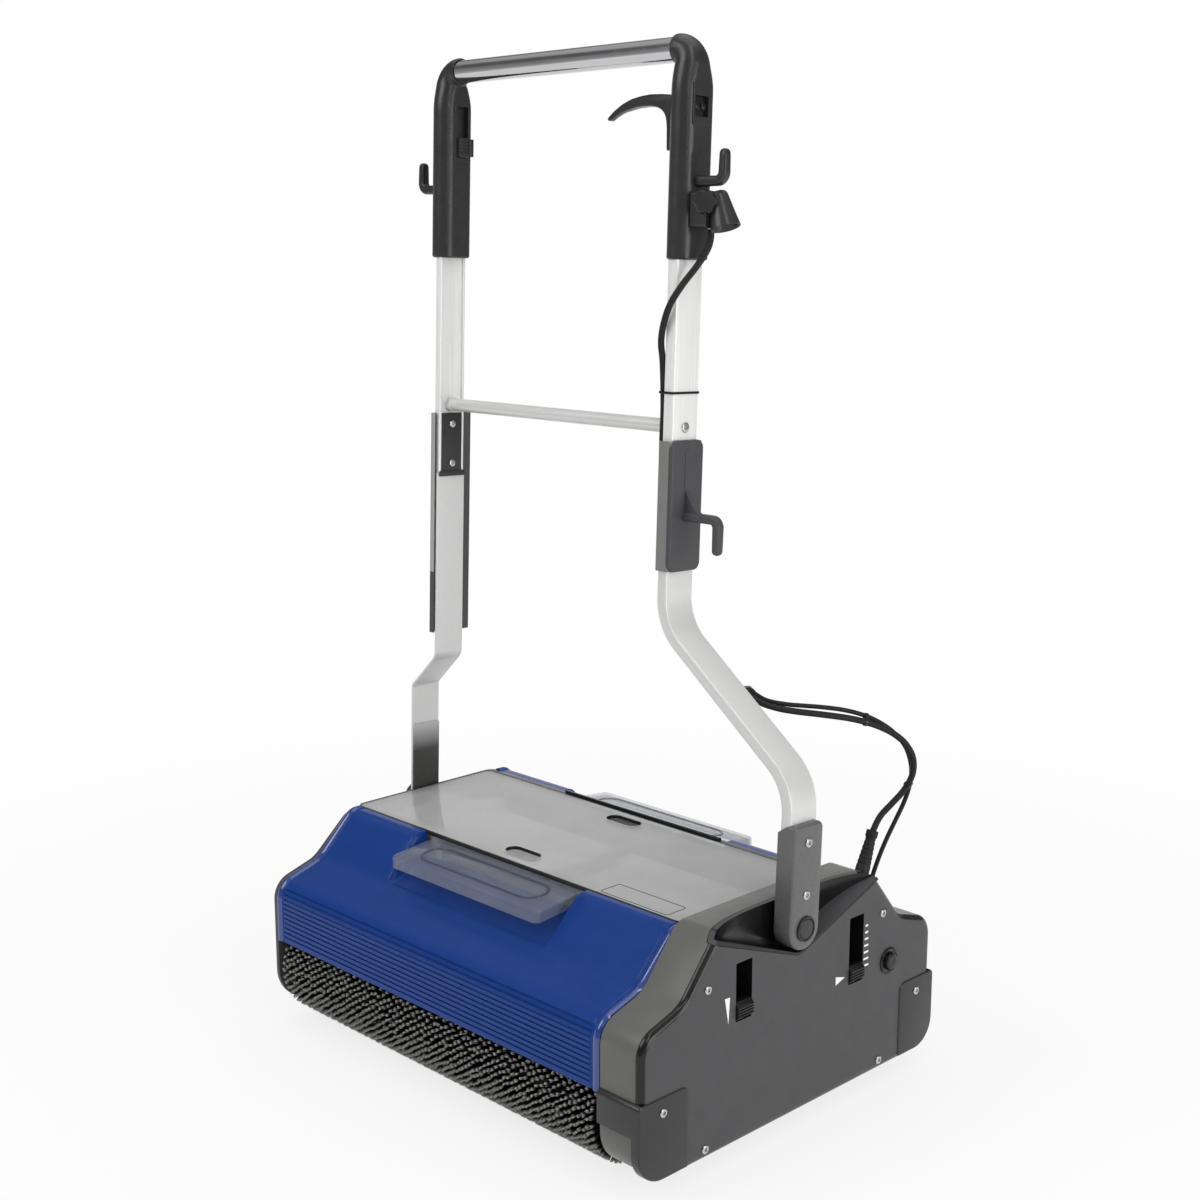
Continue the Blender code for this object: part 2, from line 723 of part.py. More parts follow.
def drive_housing():
    frame = prism([hat()], "X", FRAME_IN, FRAME_OUT)
    cavity = rounded(mirrored([
        (HALF_DEPTH - WALL, SIDE_BOTTOM + WALL, FOOT_R - WALL),
        (HALF_DEPTH - WALL, SHOULDER_Z - CAVITY_DROP, SHOULDER_R - WALL),
        (WAIST_Y, WAIST_Z - CAVITY_DROP, WALL),
    ]))
    frame = cut(frame, prism([cavity], "X", FRAME_IN + WEB_T, FRAME_OUT + 0.01), pocket(GAP))
    low = FRAME_IN - 0.01
    high = FRAME_IN + WEB_T + 0.01
    holes = [bar_x(COVER_OUT - POCKET_DEPTH - PIN_SEAT - GAP, COVER_OUT, PIN_R + GAP, 0, PIVOT_Z)]
    for side in (-1, 1):
        holes.append(bar_x(low, high, SHAFT_R + GAP, side * BRUSH_Y, BRUSH_Z))
        holes.append(bar_x(low, high, PICKUP_STUB_R + GAP, side * PICKUP_Y, PICKUP_Z))
        holes.append(bar_x(low, high, DRIVE_SHAFT_R + GAP, side * GEAR_R, DRIVE_Z))
    outward = boot_point(BOOT_LENGTH) - boot_point(0)
    seat = -(BOOT_SEAT + GAP) / BOOT_LENGTH
    thin = thin_lead_hole()
    holes.append(cone(boot_point(0) + seat * outward, boot_point(BOOT_LENGTH), BOOT_R + GAP, BOOT_R + GAP))
    holes.append(cone(thin + seat * outward, thin + outward, THIN_R + GAP, THIN_R + GAP, 16))
    return cut(frame, *holes)


def side_cover():
    cover = prism([hat()], "X", COVER_IN, COVER_OUT)
    cover = round_edges(cover, 0, COVER_OUT, COVER_EDGE_R)
    low = COVER_IN - 0.01
    high = COVER_OUT + 0.01
    half = SLOT_WIDTH / 2
    return cut(
        cover, pocket(GAP),
        box((low, MOP_SLOT_Y - half, MOP_SLOT_LOW), (high, MOP_SLOT_Y + half, MOP_SLOT_HIGH)),
        box((low, LIFT_SLOT_Y - half, LIFT_SLOT_LOW), (high, LIFT_SLOT_Y + half, LIFT_SLOT_HIGH)),
        bar_x(low, high, BUTTON_R + GAP, BUTTON_Y, BUTTON_Z))


def pocket_liner():
    liner = trim(pocket(), prism([hat()], "X", FRAME_IN, COVER_OUT))
    liner = cut(liner, pocket(-LINER_T))
    return cut(liner, bar_x(FRAME_IN, COVER_OUT, PIN_R + GAP, 0, PIVOT_Z))


def guard(side):
    outer = HALF_DEPTH + GUARD_PROUD
    low = SIDE_BOTTOM - GUARD_PROUD
    corners = [
        (side * GUARD_INNER, low, 0), (side * outer, low, FOOT_R + GUARD_PROUD),
        (side * outer, GUARD_TOP, 0.006), (side * GUARD_INNER, GUARD_TOP, 0.006)]
    face = COVER_OUT + GUARD_FACE
    piece = prism([rounded(corners)], "X", FRAME_IN + GAP, face)
    return cut(piece, prism([hat(GAP)], "X", FRAME_IN - 0.01, COVER_OUT + GAP))


def blue_cover(side):
    """A ribbed cover: a skin that follows the body's outline from the lid to the brush."""
    path = [
        (LID_HALF + GAP, LID_Z - SKIN / 2, 0), (BROW_Y, LID_Z - SKIN / 2, BROW_R),
        (WAIST_Y, WAIST_Z - SKIN / 2, WAIST_R),
        (HALF_DEPTH - SKIN / 2, SHOULDER_Z - SKIN / 2, SHOULDER_R),
        (HALF_DEPTH - SKIN / 2, COVER_BOTTOM, 0)]
    outline = [(side * y, z) for y, z in ribbon(path, SKIN)]
    cover = prism([outline], "X", LEFT_END, RIGHT_END)
    near = side * (HALF_DEPTH - GROOVE_DEPTH)
    far = side * (HALF_DEPTH + 0.01)
    for index in range(GROOVES):
        z = COVER_BOTTOM + GROOVE_PITCH * (index + 0.7)
        cover = cut(cover, box((LEFT_END + GROOVE_END, min(near, far), z),
                               (RIGHT_END - GROOVE_END, max(near, far), z + GROOVE_WIDTH)))
    half = TAB_LENGTH / 2 + 0.001
    edges = sorted((side * (LID_HALF - 0.02), side * (LID_HALF + TAB_NOTCH)))
    return cut(cover, box((LID_MIDDLE - half, edges[0], WAIST_Z + SKIN), (LID_MIDDLE + half, edges[1], LID_Z + 0.02)))


def tank_grip(side):
    """A clear hand grip: hooked on the tank's wall, out under the lid's edge, with a lip."""
    wall = TANK_HALF + GAP + TAB_T / 2
    top = TANK_TOP - TAB_T / 2 - LID_LIFT_SEAT
    path = [
        (wall, top - TAB_LEG, 0), (wall, top, 0.004),
        (wall + TAB_REACH, top - TAB_DROP, 0.004),
        (wall + TAB_REACH + 0.004, top - TAB_DROP - TAB_LIP, 0)]
    outline = [(side * y, z) for y, z in ribbon(path, TAB_T)]
    return prism([outline], "X", LID_MIDDLE - TAB_LENGTH / 2, LID_MIDDLE + TAB_LENGTH / 2)


def lid_sheet():
    loops = [rounded([
        (LID_LEFT, -LID_HALF, LID_R), (LID_RIGHT, -LID_HALF, LID_R),
        (LID_RIGHT, LID_HALF, LID_R), (LID_LEFT, LID_HALF, LID_R)])]
    for side in (-1, 1):
        length = HOLE_LENGTH / 2
        width = HOLE_WIDTH / 2
        middle = side * HOLE_Y
        loops.append(rounded([
            (LID_MIDDLE - length, middle - width, width), (LID_MIDDLE + length, middle - width, width),
            (LID_MIDDLE + length, middle + width, width), (LID_MIDDLE - length, middle + width, width)]))
    return prism(loops, "Z", LID_UNDER, LID_Z)


def tank(left, right):
    floor = TRAY_Z + TRAY_T + GAP
    outer = box((left, -TANK_HALF, floor), (right, TANK_HALF, TANK_TOP))
    inner = TANK_HALF - TANK_WALL
    return cut(outer, box((left + TANK_WALL, -inner, floor + TANK_WALL),
                          (right - TANK_WALL, inner, TANK_TOP + 0.01)))


def chassis_tray():
    top = TRAY_Z + TRAY_T
    low = top - TRAY_FLANGE
    inner = TRAY_HALF - TRAY_T
    outline = [
        (-TRAY_HALF, low), (-inner, low), (-inner, TRAY_Z), (inner, TRAY_Z),
        (inner, low), (TRAY_HALF, low), (TRAY_HALF, top), (-TRAY_HALF, top)]
    return prism([outline], "X", LEFT_END, RIGHT_END)


# Brushes and drive

def brush(side):
    """A core with tapered four-sided tufts on every second field of its surface."""
    low = LEFT_END + BRUSH_END
    high = RIGHT_END - BRUSH_END
    mesh = bpy.data.meshes.new("brush")
    shape = bmesh.new()
    place = AXES["X"]
    bmesh.ops.create_cone(
        shape, cap_ends=True, segments=TUFT_COLUMNS, radius1=CORE_R, radius2=CORE_R, depth=high - low)
    long_edges = [edge for edge in shape.edges if abs(edge.verts[0].co.z - edge.verts[1].co.z) > 0.001]
    bmesh.ops.subdivide_edges(shape, edges=long_edges, cuts=TUFT_ROWS - 1, use_grid_fill=True)
    pitch = (high - low) / TUFT_ROWS
    fields = []
    for face in shape.faces:
        middle = face.calc_center_median()
        if abs(face.normal.z) > 0.5:
            continue
        row = round((middle.z + (high - low) / 2) / pitch - 0.5)
        column = round(math.atan2(middle.y, middle.x) / (2 * math.pi / TUFT_COLUMNS) - 0.5)
        if (row + column) % 2 == 0:
            fields.append(face)
    for face in bmesh.ops.extrude_discrete_faces(shape, faces=fields)["faces"]:
        middle = face.calc_center_median()
        outward = Vector((middle.x, middle.y, 0)).normalized() * (BRUSH_R - CORE_R)
        for vert in face.verts:
            vert.co = middle + (vert.co - middle) * TUFT_TAPER + outward
    shape.to_mesh(mesh)
    shape.free()
    thing = add_object(mesh)
    thing.matrix_world = Matrix.Translation(((low + high) / 2, side * BRUSH_Y, BRUSH_Z)) @ place
    return cut(bake(thing), bar_x(low - 0.01, high + 0.01, SHAFT_R + GAP, side * BRUSH_Y, BRUSH_Z, 16))


def brush_shaft(side):
    left = PLATE_OUT + GAP
    right = PULLEY_X + PULLEY_T
    profile = [
        (0, right), (BRUSH_PULLEY_R, right), (BRUSH_PULLEY_R, PULLEY_X), (SHAFT_R, PULLEY_X),
        (SHAFT_R, left), (0, left)]
    return turned(profile, side * BRUSH_Y, BRUSH_Z)


def bearing(side):
    """A flanged bush through the left plate, closed on the outside."""
    inside = PLATE_OUT + BEARING_DEPTH
    outside = PLATE_OUT - GAP
    bore = SHAFT_R + GAP
    profile = [
        (0, PLATE_OUT), (bore, PLATE_OUT), (bore, inside), (BEARING_R, inside), (BEARING_R, outside),
        (BEARING_FLANGE_R, outside), (BEARING_FLANGE_R, outside - BEARING_FLANGE_T),
        (0, outside - BEARING_FLANGE_T)]
    return turned(profile, side * BRUSH_Y, BRUSH_Z)


def pickup_roller(side):
    left = LEFT_END + BRUSH_END
    right = RIGHT_END - BRUSH_END
    end = FRAME_IN + WEB_T
    profile = [
        (0, end), (PICKUP_STUB_R, end), (PICKUP_STUB_R, right), (PICKUP_R, right), (PICKUP_R, left),
        (PICKUP_STUB_R, left), (PICKUP_STUB_R, PLATE_OUT), (0, PLATE_OUT)]
    return turned(profile, side * PICKUP_Y, PICKUP_Z)


def drive_shaft(side, left, collar):
    """A short shaft with a belt pulley and a gear; the two gears mesh in the middle."""
    top = GEAR_X + GEAR_T
    tail = [(DRIVE_SHAFT_R, left)]
    if collar:
        tail = [(DRIVE_SHAFT_R, RIGHT_END), (COLLAR_R, RIGHT_END), (COLLAR_R, left)]
    profile = [
        (0, top), (DRIVE_SHAFT_R, top), (DRIVE_SHAFT_R, PULLEY_X + PULLEY_T),
        (DRIVE_PULLEY_R, PULLEY_X + PULLEY_T), (DRIVE_PULLEY_R, PULLEY_X), (DRIVE_SHAFT_R, PULLEY_X),
        *tail, (0, left)]
    shaft = turned(profile, side * GEAR_R, DRIVE_Z)
    half_tooth = math.pi / GEAR_TEETH if side > 0 else 0.0
    gear = prism([gear_outline(side * GEAR_R, DRIVE_Z, half_tooth)], "X", GEAR_X, GEAR_X + GEAR_T)
    return join(shaft, gear)


def belt(side):
    drive = (side * GEAR_R, DRIVE_Z)
    driven = (side * BRUSH_Y, BRUSH_Z)
    loops = []
    for reach in (GAP + BELT_T, GAP):
        loops.append(belt_loop(drive, DRIVE_PULLEY_R + reach, driven, BRUSH_PULLEY_R + reach))
    return prism(loops, "X", PULLEY_X + BELT_SIDE, PULLEY_X + PULLEY_T - BELT_SIDE)


def motor():
    body = bar_x(RIGHT_END - MOTOR_LENGTH, RIGHT_END, MOTOR_R, -GEAR_R, DRIVE_Z, 24)
    return cut(body, bar_x(RIGHT_END - SHAFT_SEAT - GAP, FRAME_IN, DRIVE_SHAFT_R + GAP, -GEAR_R, DRIVE_Z))


# Wheels

def wheel_sides():
    return [(x, y) for x in (-1, 1) for y in (-1, 1)]


def carriage():
    low = SPINE_Z - SPINE_H / 2
    piece = box((LEFT_END, SPINE_Y - SPINE_T / 2, low), (RIGHT_END, SPINE_Y + SPINE_T / 2, low + SPINE_H))
    inner = WHEEL_X - WHEEL_T / 2 - GAP
    head = WHEEL_X + WHEEL_T / 2 + GAP
    for x in (-1, 1):
        ends = sorted((x * inner, x * (inner - BEAM_T)))
        piece = join(piece, box((ends[0], -BEAM_HALF, WHEEL_R - BEAM_H / 2),
                                (ends[1], BEAM_HALF, WHEEL_R + BEAM_H / 2)))
    for x, y in wheel_sides():
        axle = bar_x(x * (inner - BEAM_T / 2), x * head, AXLE_R, y * WHEEL_Y, WHEEL_R, 12)
        cap = bar_x(x * head, x * (head + AXLE_HEAD_T), AXLE_HEAD_R, y * WHEEL_Y, WHEEL_R, 12)
        piece = join(piece, axle, cap)
    return piece


def wheel(x, y):
    """A wheel with a flat of its outline at the bottom."""
    ends = (x * WHEEL_X - WHEEL_T / 2, x * WHEEL_X + WHEEL_T / 2)
    outer = WHEEL_R / math.cos(math.pi / WHEEL_SIDES)
    half_side = math.pi / WHEEL_SIDES
    tyre = bar_x(*ends, outer, y * WHEEL_Y, WHEEL_R, WHEEL_SIDES, half_side)
    bore = bar_x(ends[0] - 0.01, ends[1] + 0.01, AXLE_R + 2 * GAP, y * WHEEL_Y, WHEEL_R, 12)
    return cut(tyre, bore)


# Controls on the side cover

def lever(y, low):
    """A thumb lever that fills its slot's width, with a ridge to push."""
    half = SLOT_WIDTH / 2 - GAP
    inner = COVER_IN
    outline = rounded([
        (inner, low, 0), (COVER_OUT, low, 0.001), (COVER_OUT + LEVER_PROUD, low + LEVER_H * 0.4, 0.002),
        (COVER_OUT + LEVER_PROUD, low + LEVER_H * 0.7, 0.002), (COVER_OUT, low + LEVER_H, 0.001),
        (inner, low + LEVER_H, 0)])
    return prism([outline], "Y", y - half, y + half)


def reset_button():
    top = COVER_OUT + BUTTON_PROUD
    profile = [
        (0, top), (BUTTON_R - 0.002, top), (BUTTON_R, top - 0.002), (BUTTON_R, COVER_IN), (0, COVER_IN)]
    return turned(profile, BUTTON_Y, BUTTON_Z)


# Handle

def pivot_pin(side):
    """A fixed pin with a broad cap outside the bracket."""
    cap = HALF_SPAN + GAP
    tail = COVER_OUT - POCKET_DEPTH - PIN_SEAT if side > 0 else -PLATE_IN
    profile = [
        (0, cap + PIN_CAP_T), (PIN_CAP_R, cap + PIN_CAP_T), (PIN_CAP_R, cap), (PIN_R, cap),
        (PIN_R, tail), (0, tail)]
    if side < 0:
        profile = [(radius, -x) for radius, x in reversed(profile)]
    return turned(profile, 0, PIVOT_Z, 24)


def arm_socket(side):
    half_t = ARM_T / 2 + GAP
    half_w = ARM_W / 2 + GAP
    return box((side * ARM_X - half_t, -half_w, ARM_FOOT - GAP), (side * ARM_X + half_t, half_w, BRACKET_TOP + 0.01))


def pivot_bracket(side):
    """A boss round the pivot that the arm's foot plugs into."""
    half = BRACKET_W / 2
    outline = rounded([
        (half, PIVOT_Z - half, half), (half, BRACKET_TOP, 0.004),
        (-half, BRACKET_TOP, 0.004), (-half, PIVOT_Z - half, half)], 10)
    ends = sorted((side * HALF_SPAN, side * (HALF_SPAN - BRACKET_T)))
    piece = prism([outline], "X", *ends)
    bore = bar_x(ends[0] - 0.01, ends[1] + 0.01, PIN_R + GAP, 0, PIVOT_Z, 24)
    return cut(piece, bore, arm_socket(side))


def arm(path):
    return prism([ribbon(path, ARM_T)], "Y", -ARM_W / 2, ARM_W / 2)


def right_arm():
    return arm([
        (ARM_X, ARM_FOOT, 0), (ARM_X, BEND_LOW, RIGHT_BEND_R),
        (RIGHT_LEG, RIGHT_BEND_HIGH, RIGHT_BEND_R), (RIGHT_LEG, JOINT_Z, 0)])


def left_arm():
    return arm([
        (-ARM_X, ARM_FOOT, 0), (-ARM_X, BEND_LOW, LEFT_BEND_R),
        (LEFT_LEG, LEFT_BEND_HIGH, LEFT_BEND_R), (LEFT_LEG, JOINT_Z, 0)])


def upright(leg, inward):
    """An extruded bar with a groove on its inner face."""
    t = UPRIGHT_T / 2
    w = UPRIGHT_W / 2
    c = CHANNEL_W / 2
    section = [
        (-t, -w), (t, -w), (t, -c), (t - CHANNEL_D, -c), (t - CHANNEL_D, c), (t, c), (t, w), (-t, w)]
    outline = [(leg + inward * x, y) for x, y in section]
    return prism([outline], "Z", JOINT_Z + GAP, GRIP_BOTTOM + GRIP_SOCKET)


def groove_floor(leg, inward):
    return leg + inward * (UPRIGHT_T / 2 - CHANNEL_D + GAP)


def grip_blank(leg, inward):
    """A moulded grip with a rounded elbow, a socket for the upright and one for the bar."""
    half = GRIP_W / 2
    outline = rounded([
        (leg - inward * half, GRIP_BOTTOM, 0.003), (leg + inward * half, GRIP_BOTTOM, 0.003),
        (leg + inward * half, GRIP_TOP, GRIP_INNER_R), (leg - inward * half, GRIP_TOP, GRIP_ELBOW_R)])
    grip = prism([outline], "Y", -GRIP_D / 2, GRIP_D / 2)
    for face in (-GRIP_D / 2, GRIP_D / 2):
        grip = round_edges(grip, 1, face, GRIP_BEVEL, 2)
    half_t = UPRIGHT_T / 2 + GAP
    half_w = UPRIGHT_W / 2 + GAP
    socket = box((leg - half_t, -half_w, GRIP_BOTTOM - 0.01), (leg + half_t, half_w, GRIP_BOTTOM + GRIP_SOCKET + GAP))
    face = leg + inward * half
    ends = sorted((face + inward * 0.01, face - inward * BAR_SOCKET))
    return cut(grip, socket, bar_x(*ends, BAR_R + GAP, 0, BAR_Z))


def right_grip():
    half = TRIGGER_W / 2 + GAP
    slot = box((GRIP_IN_RIGHT - 0.01, -half, TRIGGER_LOW - TRIGGER_RUN),
               (GRIP_IN_RIGHT + TRIGGER_POCKET, half, TRIGGER_HIGH + TRIGGER_HEAD))
    w = ROCKER_W / 2 + GAP
    h = ROCKER_H / 2 + GAP
    recess = box((GRIP_OUT_RIGHT - ROCKER_POCKET, -w, ROCKER_Z - h), (GRIP_OUT_RIGHT + 0.01, w, ROCKER_Z + h))
    return cut(grip_blank(RIGHT_LEG, -1), slot, recess)


def left_grip():
    half = CATCH_W / 2
    slot = box((GRIP_IN_LEFT - CATCH_D, CATCH_BACK - half, CATCH_LOW),
               (GRIP_IN_LEFT + 0.01, CATCH_BACK + half, CATCH_HIGH))
    return cut(grip_blank(LEFT_LEG, 1), slot)


def top_bar():
    return bar_x(GRIP_IN_LEFT - BAR_SOCKET + GAP, GRIP_IN_RIGHT + BAR_SOCKET - GAP, BAR_R, 0, BAR_Z, 24)


def crossbar():
    return bar_x(groove_floor(LEFT_LEG, 1), groove_floor(RIGHT_LEG, -1), CROSSBAR_R, 0, CROSSBAR_Z)


def trigger():
    """A curved finger lever whose foot lies in the grip's slot."""
    face = GRIP_IN_RIGHT
    tip = face - TRIGGER_LENGTH
    top = TRIGGER_HIGH
    under = top - TRIGGER_T
    outline = rounded([
        (face + TRIGGER_SEAT, TRIGGER_LOW, 0), (face + TRIGGER_SEAT, top, 0),
        (face - TRIGGER_LENGTH * 0.5, top + 0.003, 0.09), (tip, top - TRIGGER_DROOP, 0.002),
        (tip - 0.002, top - TRIGGER_DROOP - 0.005, 0.002),
        (face - TRIGGER_LENGTH * 0.5, under + 0.001, 0.09), (face - TRIGGER_PROUD, under, 0.010),
        (face - TRIGGER_PROUD, TRIGGER_LOW, 0.001)])
    return prism([outline], "Y", -TRIGGER_W / 2, TRIGGER_W / 2)


def slide_catch():
    half = CATCH_W / 2 - GAP
    return box((GRIP_IN_LEFT - CATCH_D + GAP, CATCH_BACK - half, CATCH_LOW + GAP),
               (GRIP_IN_LEFT + CATCH_PROUD, CATCH_BACK + half, CATCH_LOW + GAP + CATCH_H))


def rocker():
    """A switch rocker with a dished face."""
    half = ROCKER_W / 2 - ROCKER_SWING
    back = GRIP_OUT_RIGHT - ROCKER_T
    outline = [(back, -half * 0.7), (GRIP_OUT_RIGHT, -half), (GRIP_OUT_RIGHT - 0.0012, 0),
               (GRIP_OUT_RIGHT, half), (back, half * 0.7)]
    return prism([outline], "Z", ROCKER_Z - ROCKER_H / 2, ROCKER_Z + ROCKER_H / 2)


def cable_hook(face, outward):
    """An upturned hook on a grip's outer face."""
    start = face + outward * GAP
    end = face + outward * HOOK_REACH
    path = [
        (start, HOOK_Z + HOOK_T / 2, 0), (end - outward * HOOK_T / 2, HOOK_Z + HOOK_T / 2, HOOK_T * 0.6),
        (end - outward * HOOK_T / 2, HOOK_Z + HOOK_RISE, 0)]
    return prism([ribbon(path, HOOK_T)], "Y", -HOOK_W / 2, HOOK_W / 2)


def inlet_block():
    """The mains inlet: a block on the grip and a flared hood over its socket."""
    face = GRIP_OUT_RIGHT + GAP
    low = INLET_TOP - INLET_H
    block = box((face, INLET_FRONT, low), (face + INLET_T, INLET_BACK, INLET_TOP))
    y = (INLET_FRONT + INLET_BACK) / 2
    mouth = Vector((face + HOOD_OUT, y, low))
    crown = Vector((face + HOOD_OUT - HOOD_R + HOOD_TOP_R, y, low + HOOD_H))
    hood = cone(mouth, crown, HOOD_R, HOOD_TOP_R, 20)
    up = (crown - mouth).normalized()
    socket = cone(mouth - 0.01 * up, mouth + SOCKET_DEPTH * up, SOCKET_R, SOCKET_R * 0.85, 20)
    return cut(join(block, hood), socket)


def hook_bracket():
    """A sleeve clipped round the right joint from outside, with a downturned hook."""
    inner_x = RIGHT_LEG - UPRIGHT_T / 2
    outer_x = RIGHT_LEG + UPRIGHT_T / 2 + GAP
    inner_y = ARM_W / 2 + GAP
    outer_y = inner_y + SLEEVE_T
    section = [
        (inner_x, -outer_y), (outer_x + SLEEVE_T, -outer_y), (outer_x + SLEEVE_T, outer_y), (inner_x, outer_y),
        (inner_x, inner_y), (outer_x, inner_y), (outer_x, -inner_y), (inner_x, -inner_y)]
    sleeve = prism([section], "Z", SLEEVE_LOW, SLEEVE_HIGH)
    end = outer_x + SLEEVE_HOOK_REACH - SLEEVE_HOOK_T / 2
    path = [
        (outer_x + SLEEVE_T / 2, SLEEVE_HOOK_Z, 0), (end, SLEEVE_HOOK_Z, SLEEVE_HOOK_T * 0.6),
        (end, SLEEVE_HOOK_Z - SLEEVE_HOOK_DROP, 0)]
    hook = prism([ribbon(path, SLEEVE_HOOK_T)], "Y", -SLEEVE_HOOK_W / 2, SLEEVE_HOOK_W / 2)
    root = outer_x + SLEEVE_T / 2
    web = prism([[(root, SLEEVE_HOOK_Z), (root + 0.020, SLEEVE_HOOK_Z), (root, SLEEVE_HOOK_Z + 0.028)]],
                "Y", -SLEEVE_T, SLEEVE_T)
    return join(sleeve, hook, web)


def left_strip():
    """A channel that lies over the outer side of the left joint."""
    outer_x = LEFT_LEG - UPRIGHT_T / 2 - GAP
    lip_x = outer_x + STRIP_FLANGE
    inner_y = ARM_W / 2 + GAP
    front = -inner_y - STRIP_T
    rear = inner_y + STRIP_REAR
    section = [
        (outer_x - STRIP_T, front), (lip_x, front), (lip_x, -inner_y), (outer_x, -inner_y),
        (outer_x, inner_y), (lip_x, inner_y), (lip_x, rear), (outer_x - STRIP_T, rear)]
    return prism([section], "Z", STRIP_LOW, STRIP_HIGH)


def clamp_plate():
    floor = groove_floor(LEFT_LEG, 1)
    half = CHANNEL_W / 2 - GAP
    return box((floor, -half, JOINT_Z + 2 * GAP), (floor + CLAMP_T, half, STRIP_HIGH))


# Leads

def handle_point(x, y, z):
    """A point of the upright handle, moved to where the lean puts it."""
    pivot = Vector((0, 0, PIVOT_Z))
    return pivot + Matrix.Rotation(-LEAN, 3, "X") @ (Vector((x, y, z)) - pivot)


def before_tie():
    return (TIE_X - 0.033, LEAD_Y, TIE_Z + 0.021)


def handle_lead():
    """From the inlet across the right upright, down its inner side and behind the arm."""
    inside = RIGHT_LEG - UPRIGHT_T / 2 - CABLE_R - GAP
    front = -UPRIGHT_W / 2 - CABLE_R - GAP
    start_x = GRIP_OUT_RIGHT + GAP + INLET_T * 0.7
    start_z = INLET_TOP - INLET_H - 3 * GAP
    crossing = -(CROSSBAR_R + 2 * CABLE_R)
    return [
        (start_x, 0.004, start_z), (start_x, 0.0035, start_z - 0.010), (start_x - 0.0015, 0.0005, start_z - 0.021),
        (start_x - 0.0065, -0.0085, GRIP_BOTTOM - 0.009), (start_x - 0.0155, -0.0195, GRIP_BOTTOM - 0.028),
        (RIGHT_LEG + 0.006, front - 0.0035, GRIP_BOTTOM - 0.047),
        (RIGHT_LEG - 0.004, front - 0.002, GRIP_BOTTOM - 0.066),
        (inside - 0.001, front + 0.0025, GRIP_BOTTOM - 0.087),
        (inside, crossing - 0.003, CROSSBAR_Z + 0.064), (inside, crossing, CROSSBAR_Z + 0.019),
        (inside, crossing, CROSSBAR_Z - 0.031), (inside, -0.008, JOINT_Z - 0.010),
        (inside, 0.002, 0.580), (inside - 0.002, 0.016, 0.545), (inside + 0.003, LEAD_Y + 0.001, 0.515),
        (RIGHT_LEG + 0.014, LEAD_Y + 0.001, 0.496), before_tie(), (TIE_X, TIE_Y, TIE_Z)]


def tie_end():
    """Where the leads come out of the tie on the arm."""
    tie = handle_point(TIE_X, TIE_Y, TIE_Z)
    ahead = (tie - handle_point(*before_tie())).normalized()
    return tie + 3 * GAP * ahead


def loop_route(start, end, bow):
    """From the tie on the arm, out and back in a hanging bow to the housing's top."""
    steps = len(bow) + 1
    points = [start.lerp(end, step / steps) + Vector(out) for step, out in enumerate(bow, 1)]
    return [start] + points + [end]


# Assembly

def build_body():
    finish("left_side_plate", side_plate(), DARK_GREY)
    finish("right_side_frame", drive_housing(), RIM_GREY)
    finish("right_side_cover", side_cover(), DARK_GREY)
    finish("pivot_pocket", pocket_liner(), BLACK)
    finish("centre_chassis", chassis_tray(), STEEL)
    split = TANK_SPLIT
    finish("recovery_tank", tank(LEFT_END, split - GAP / 2), TANK)
    finish("clean_water_tank", tank(split + GAP / 2, RIGHT_END), TANK)
    for side, place in ((-1, "front"), (1, "rear")):
        finish(f"{place}_cover", blue_cover(side), BLUE)
        finish(f"{place}_tank_grip", tank_grip(side), CLEAR)
        finish(f"right_{place}_guard", guard(side), DARK_GREY)
        finish(f"left_{place}_bearing", bearing(side), BLACK)
        finish(f"{place}_belt", belt(side), RUBBER)
    finish("drive_motor", motor(), STEEL)
    lid_empty = joint_empty("lid_lift", (LID_MIDDLE, 0, LID_Z))
    finish("lid", lid_sheet(), CLEAR, lid_empty)


def build_drive():
    for side, place in ((-1, "front"), (1, "rear")):
        axis = joint_empty(f"{place}_brush_axis", (0, side * BRUSH_Y, BRUSH_Z))
        finish(f"{place}_brush", brush(side), BRISTLE, axis)
        finish(f"{place}_brush_shaft", brush_shaft(side), STEEL, axis)
        roller_axis = joint_empty(f"{place}_pickup_axis", (0, side * PICKUP_Y, PICKUP_Z))
        finish(f"{place}_pickup_roller", pickup_roller(side), RUBBER, roller_axis)
    drive_axis = joint_empty("drive_axis", (0, -GEAR_R, DRIVE_Z))
    finish("drive_shaft", drive_shaft(-1, RIGHT_END - SHAFT_SEAT, False), STEEL, drive_axis)
    counter_axis = joint_empty("counter_axis", (0, GEAR_R, DRIVE_Z))
    finish("counter_shaft", drive_shaft(1, RIGHT_END - COLLAR_T, True), STEEL, counter_axis)


def build_wheels():
    lift = joint_empty("carriage_lift", (0, 0, WHEEL_R))
    finish("wheel_carriage", carriage(), STEEL, lift)
    for x, y in wheel_sides():
        name = f"{'front' if y < 0 else 'rear'}_{'left' if x < 0 else 'right'}_wheel"
        axis = joint_empty(name + "_axis", (x * WHEEL_X, y * WHEEL_Y, WHEEL_R), lift)
        finish(name, wheel(x, y), RUBBER, axis)


def build_controls():
    for name, y, low in (("mop_up_lever", MOP_SLOT_Y, MOP_SLOT_LOW), ("transport_lever", LIFT_SLOT_Y, LIFT_SLOT_LOW)):
        slide = joint_empty(name + "_slide", (COVER_OUT, y, low))
        finish(name, lever(y, low + GAP), BLACK, slide)
    press = joint_empty("reset_press", (COVER_OUT, BUTTON_Y, BUTTON_Z))
    finish("reset_button", reset_button(), BLACK, press)


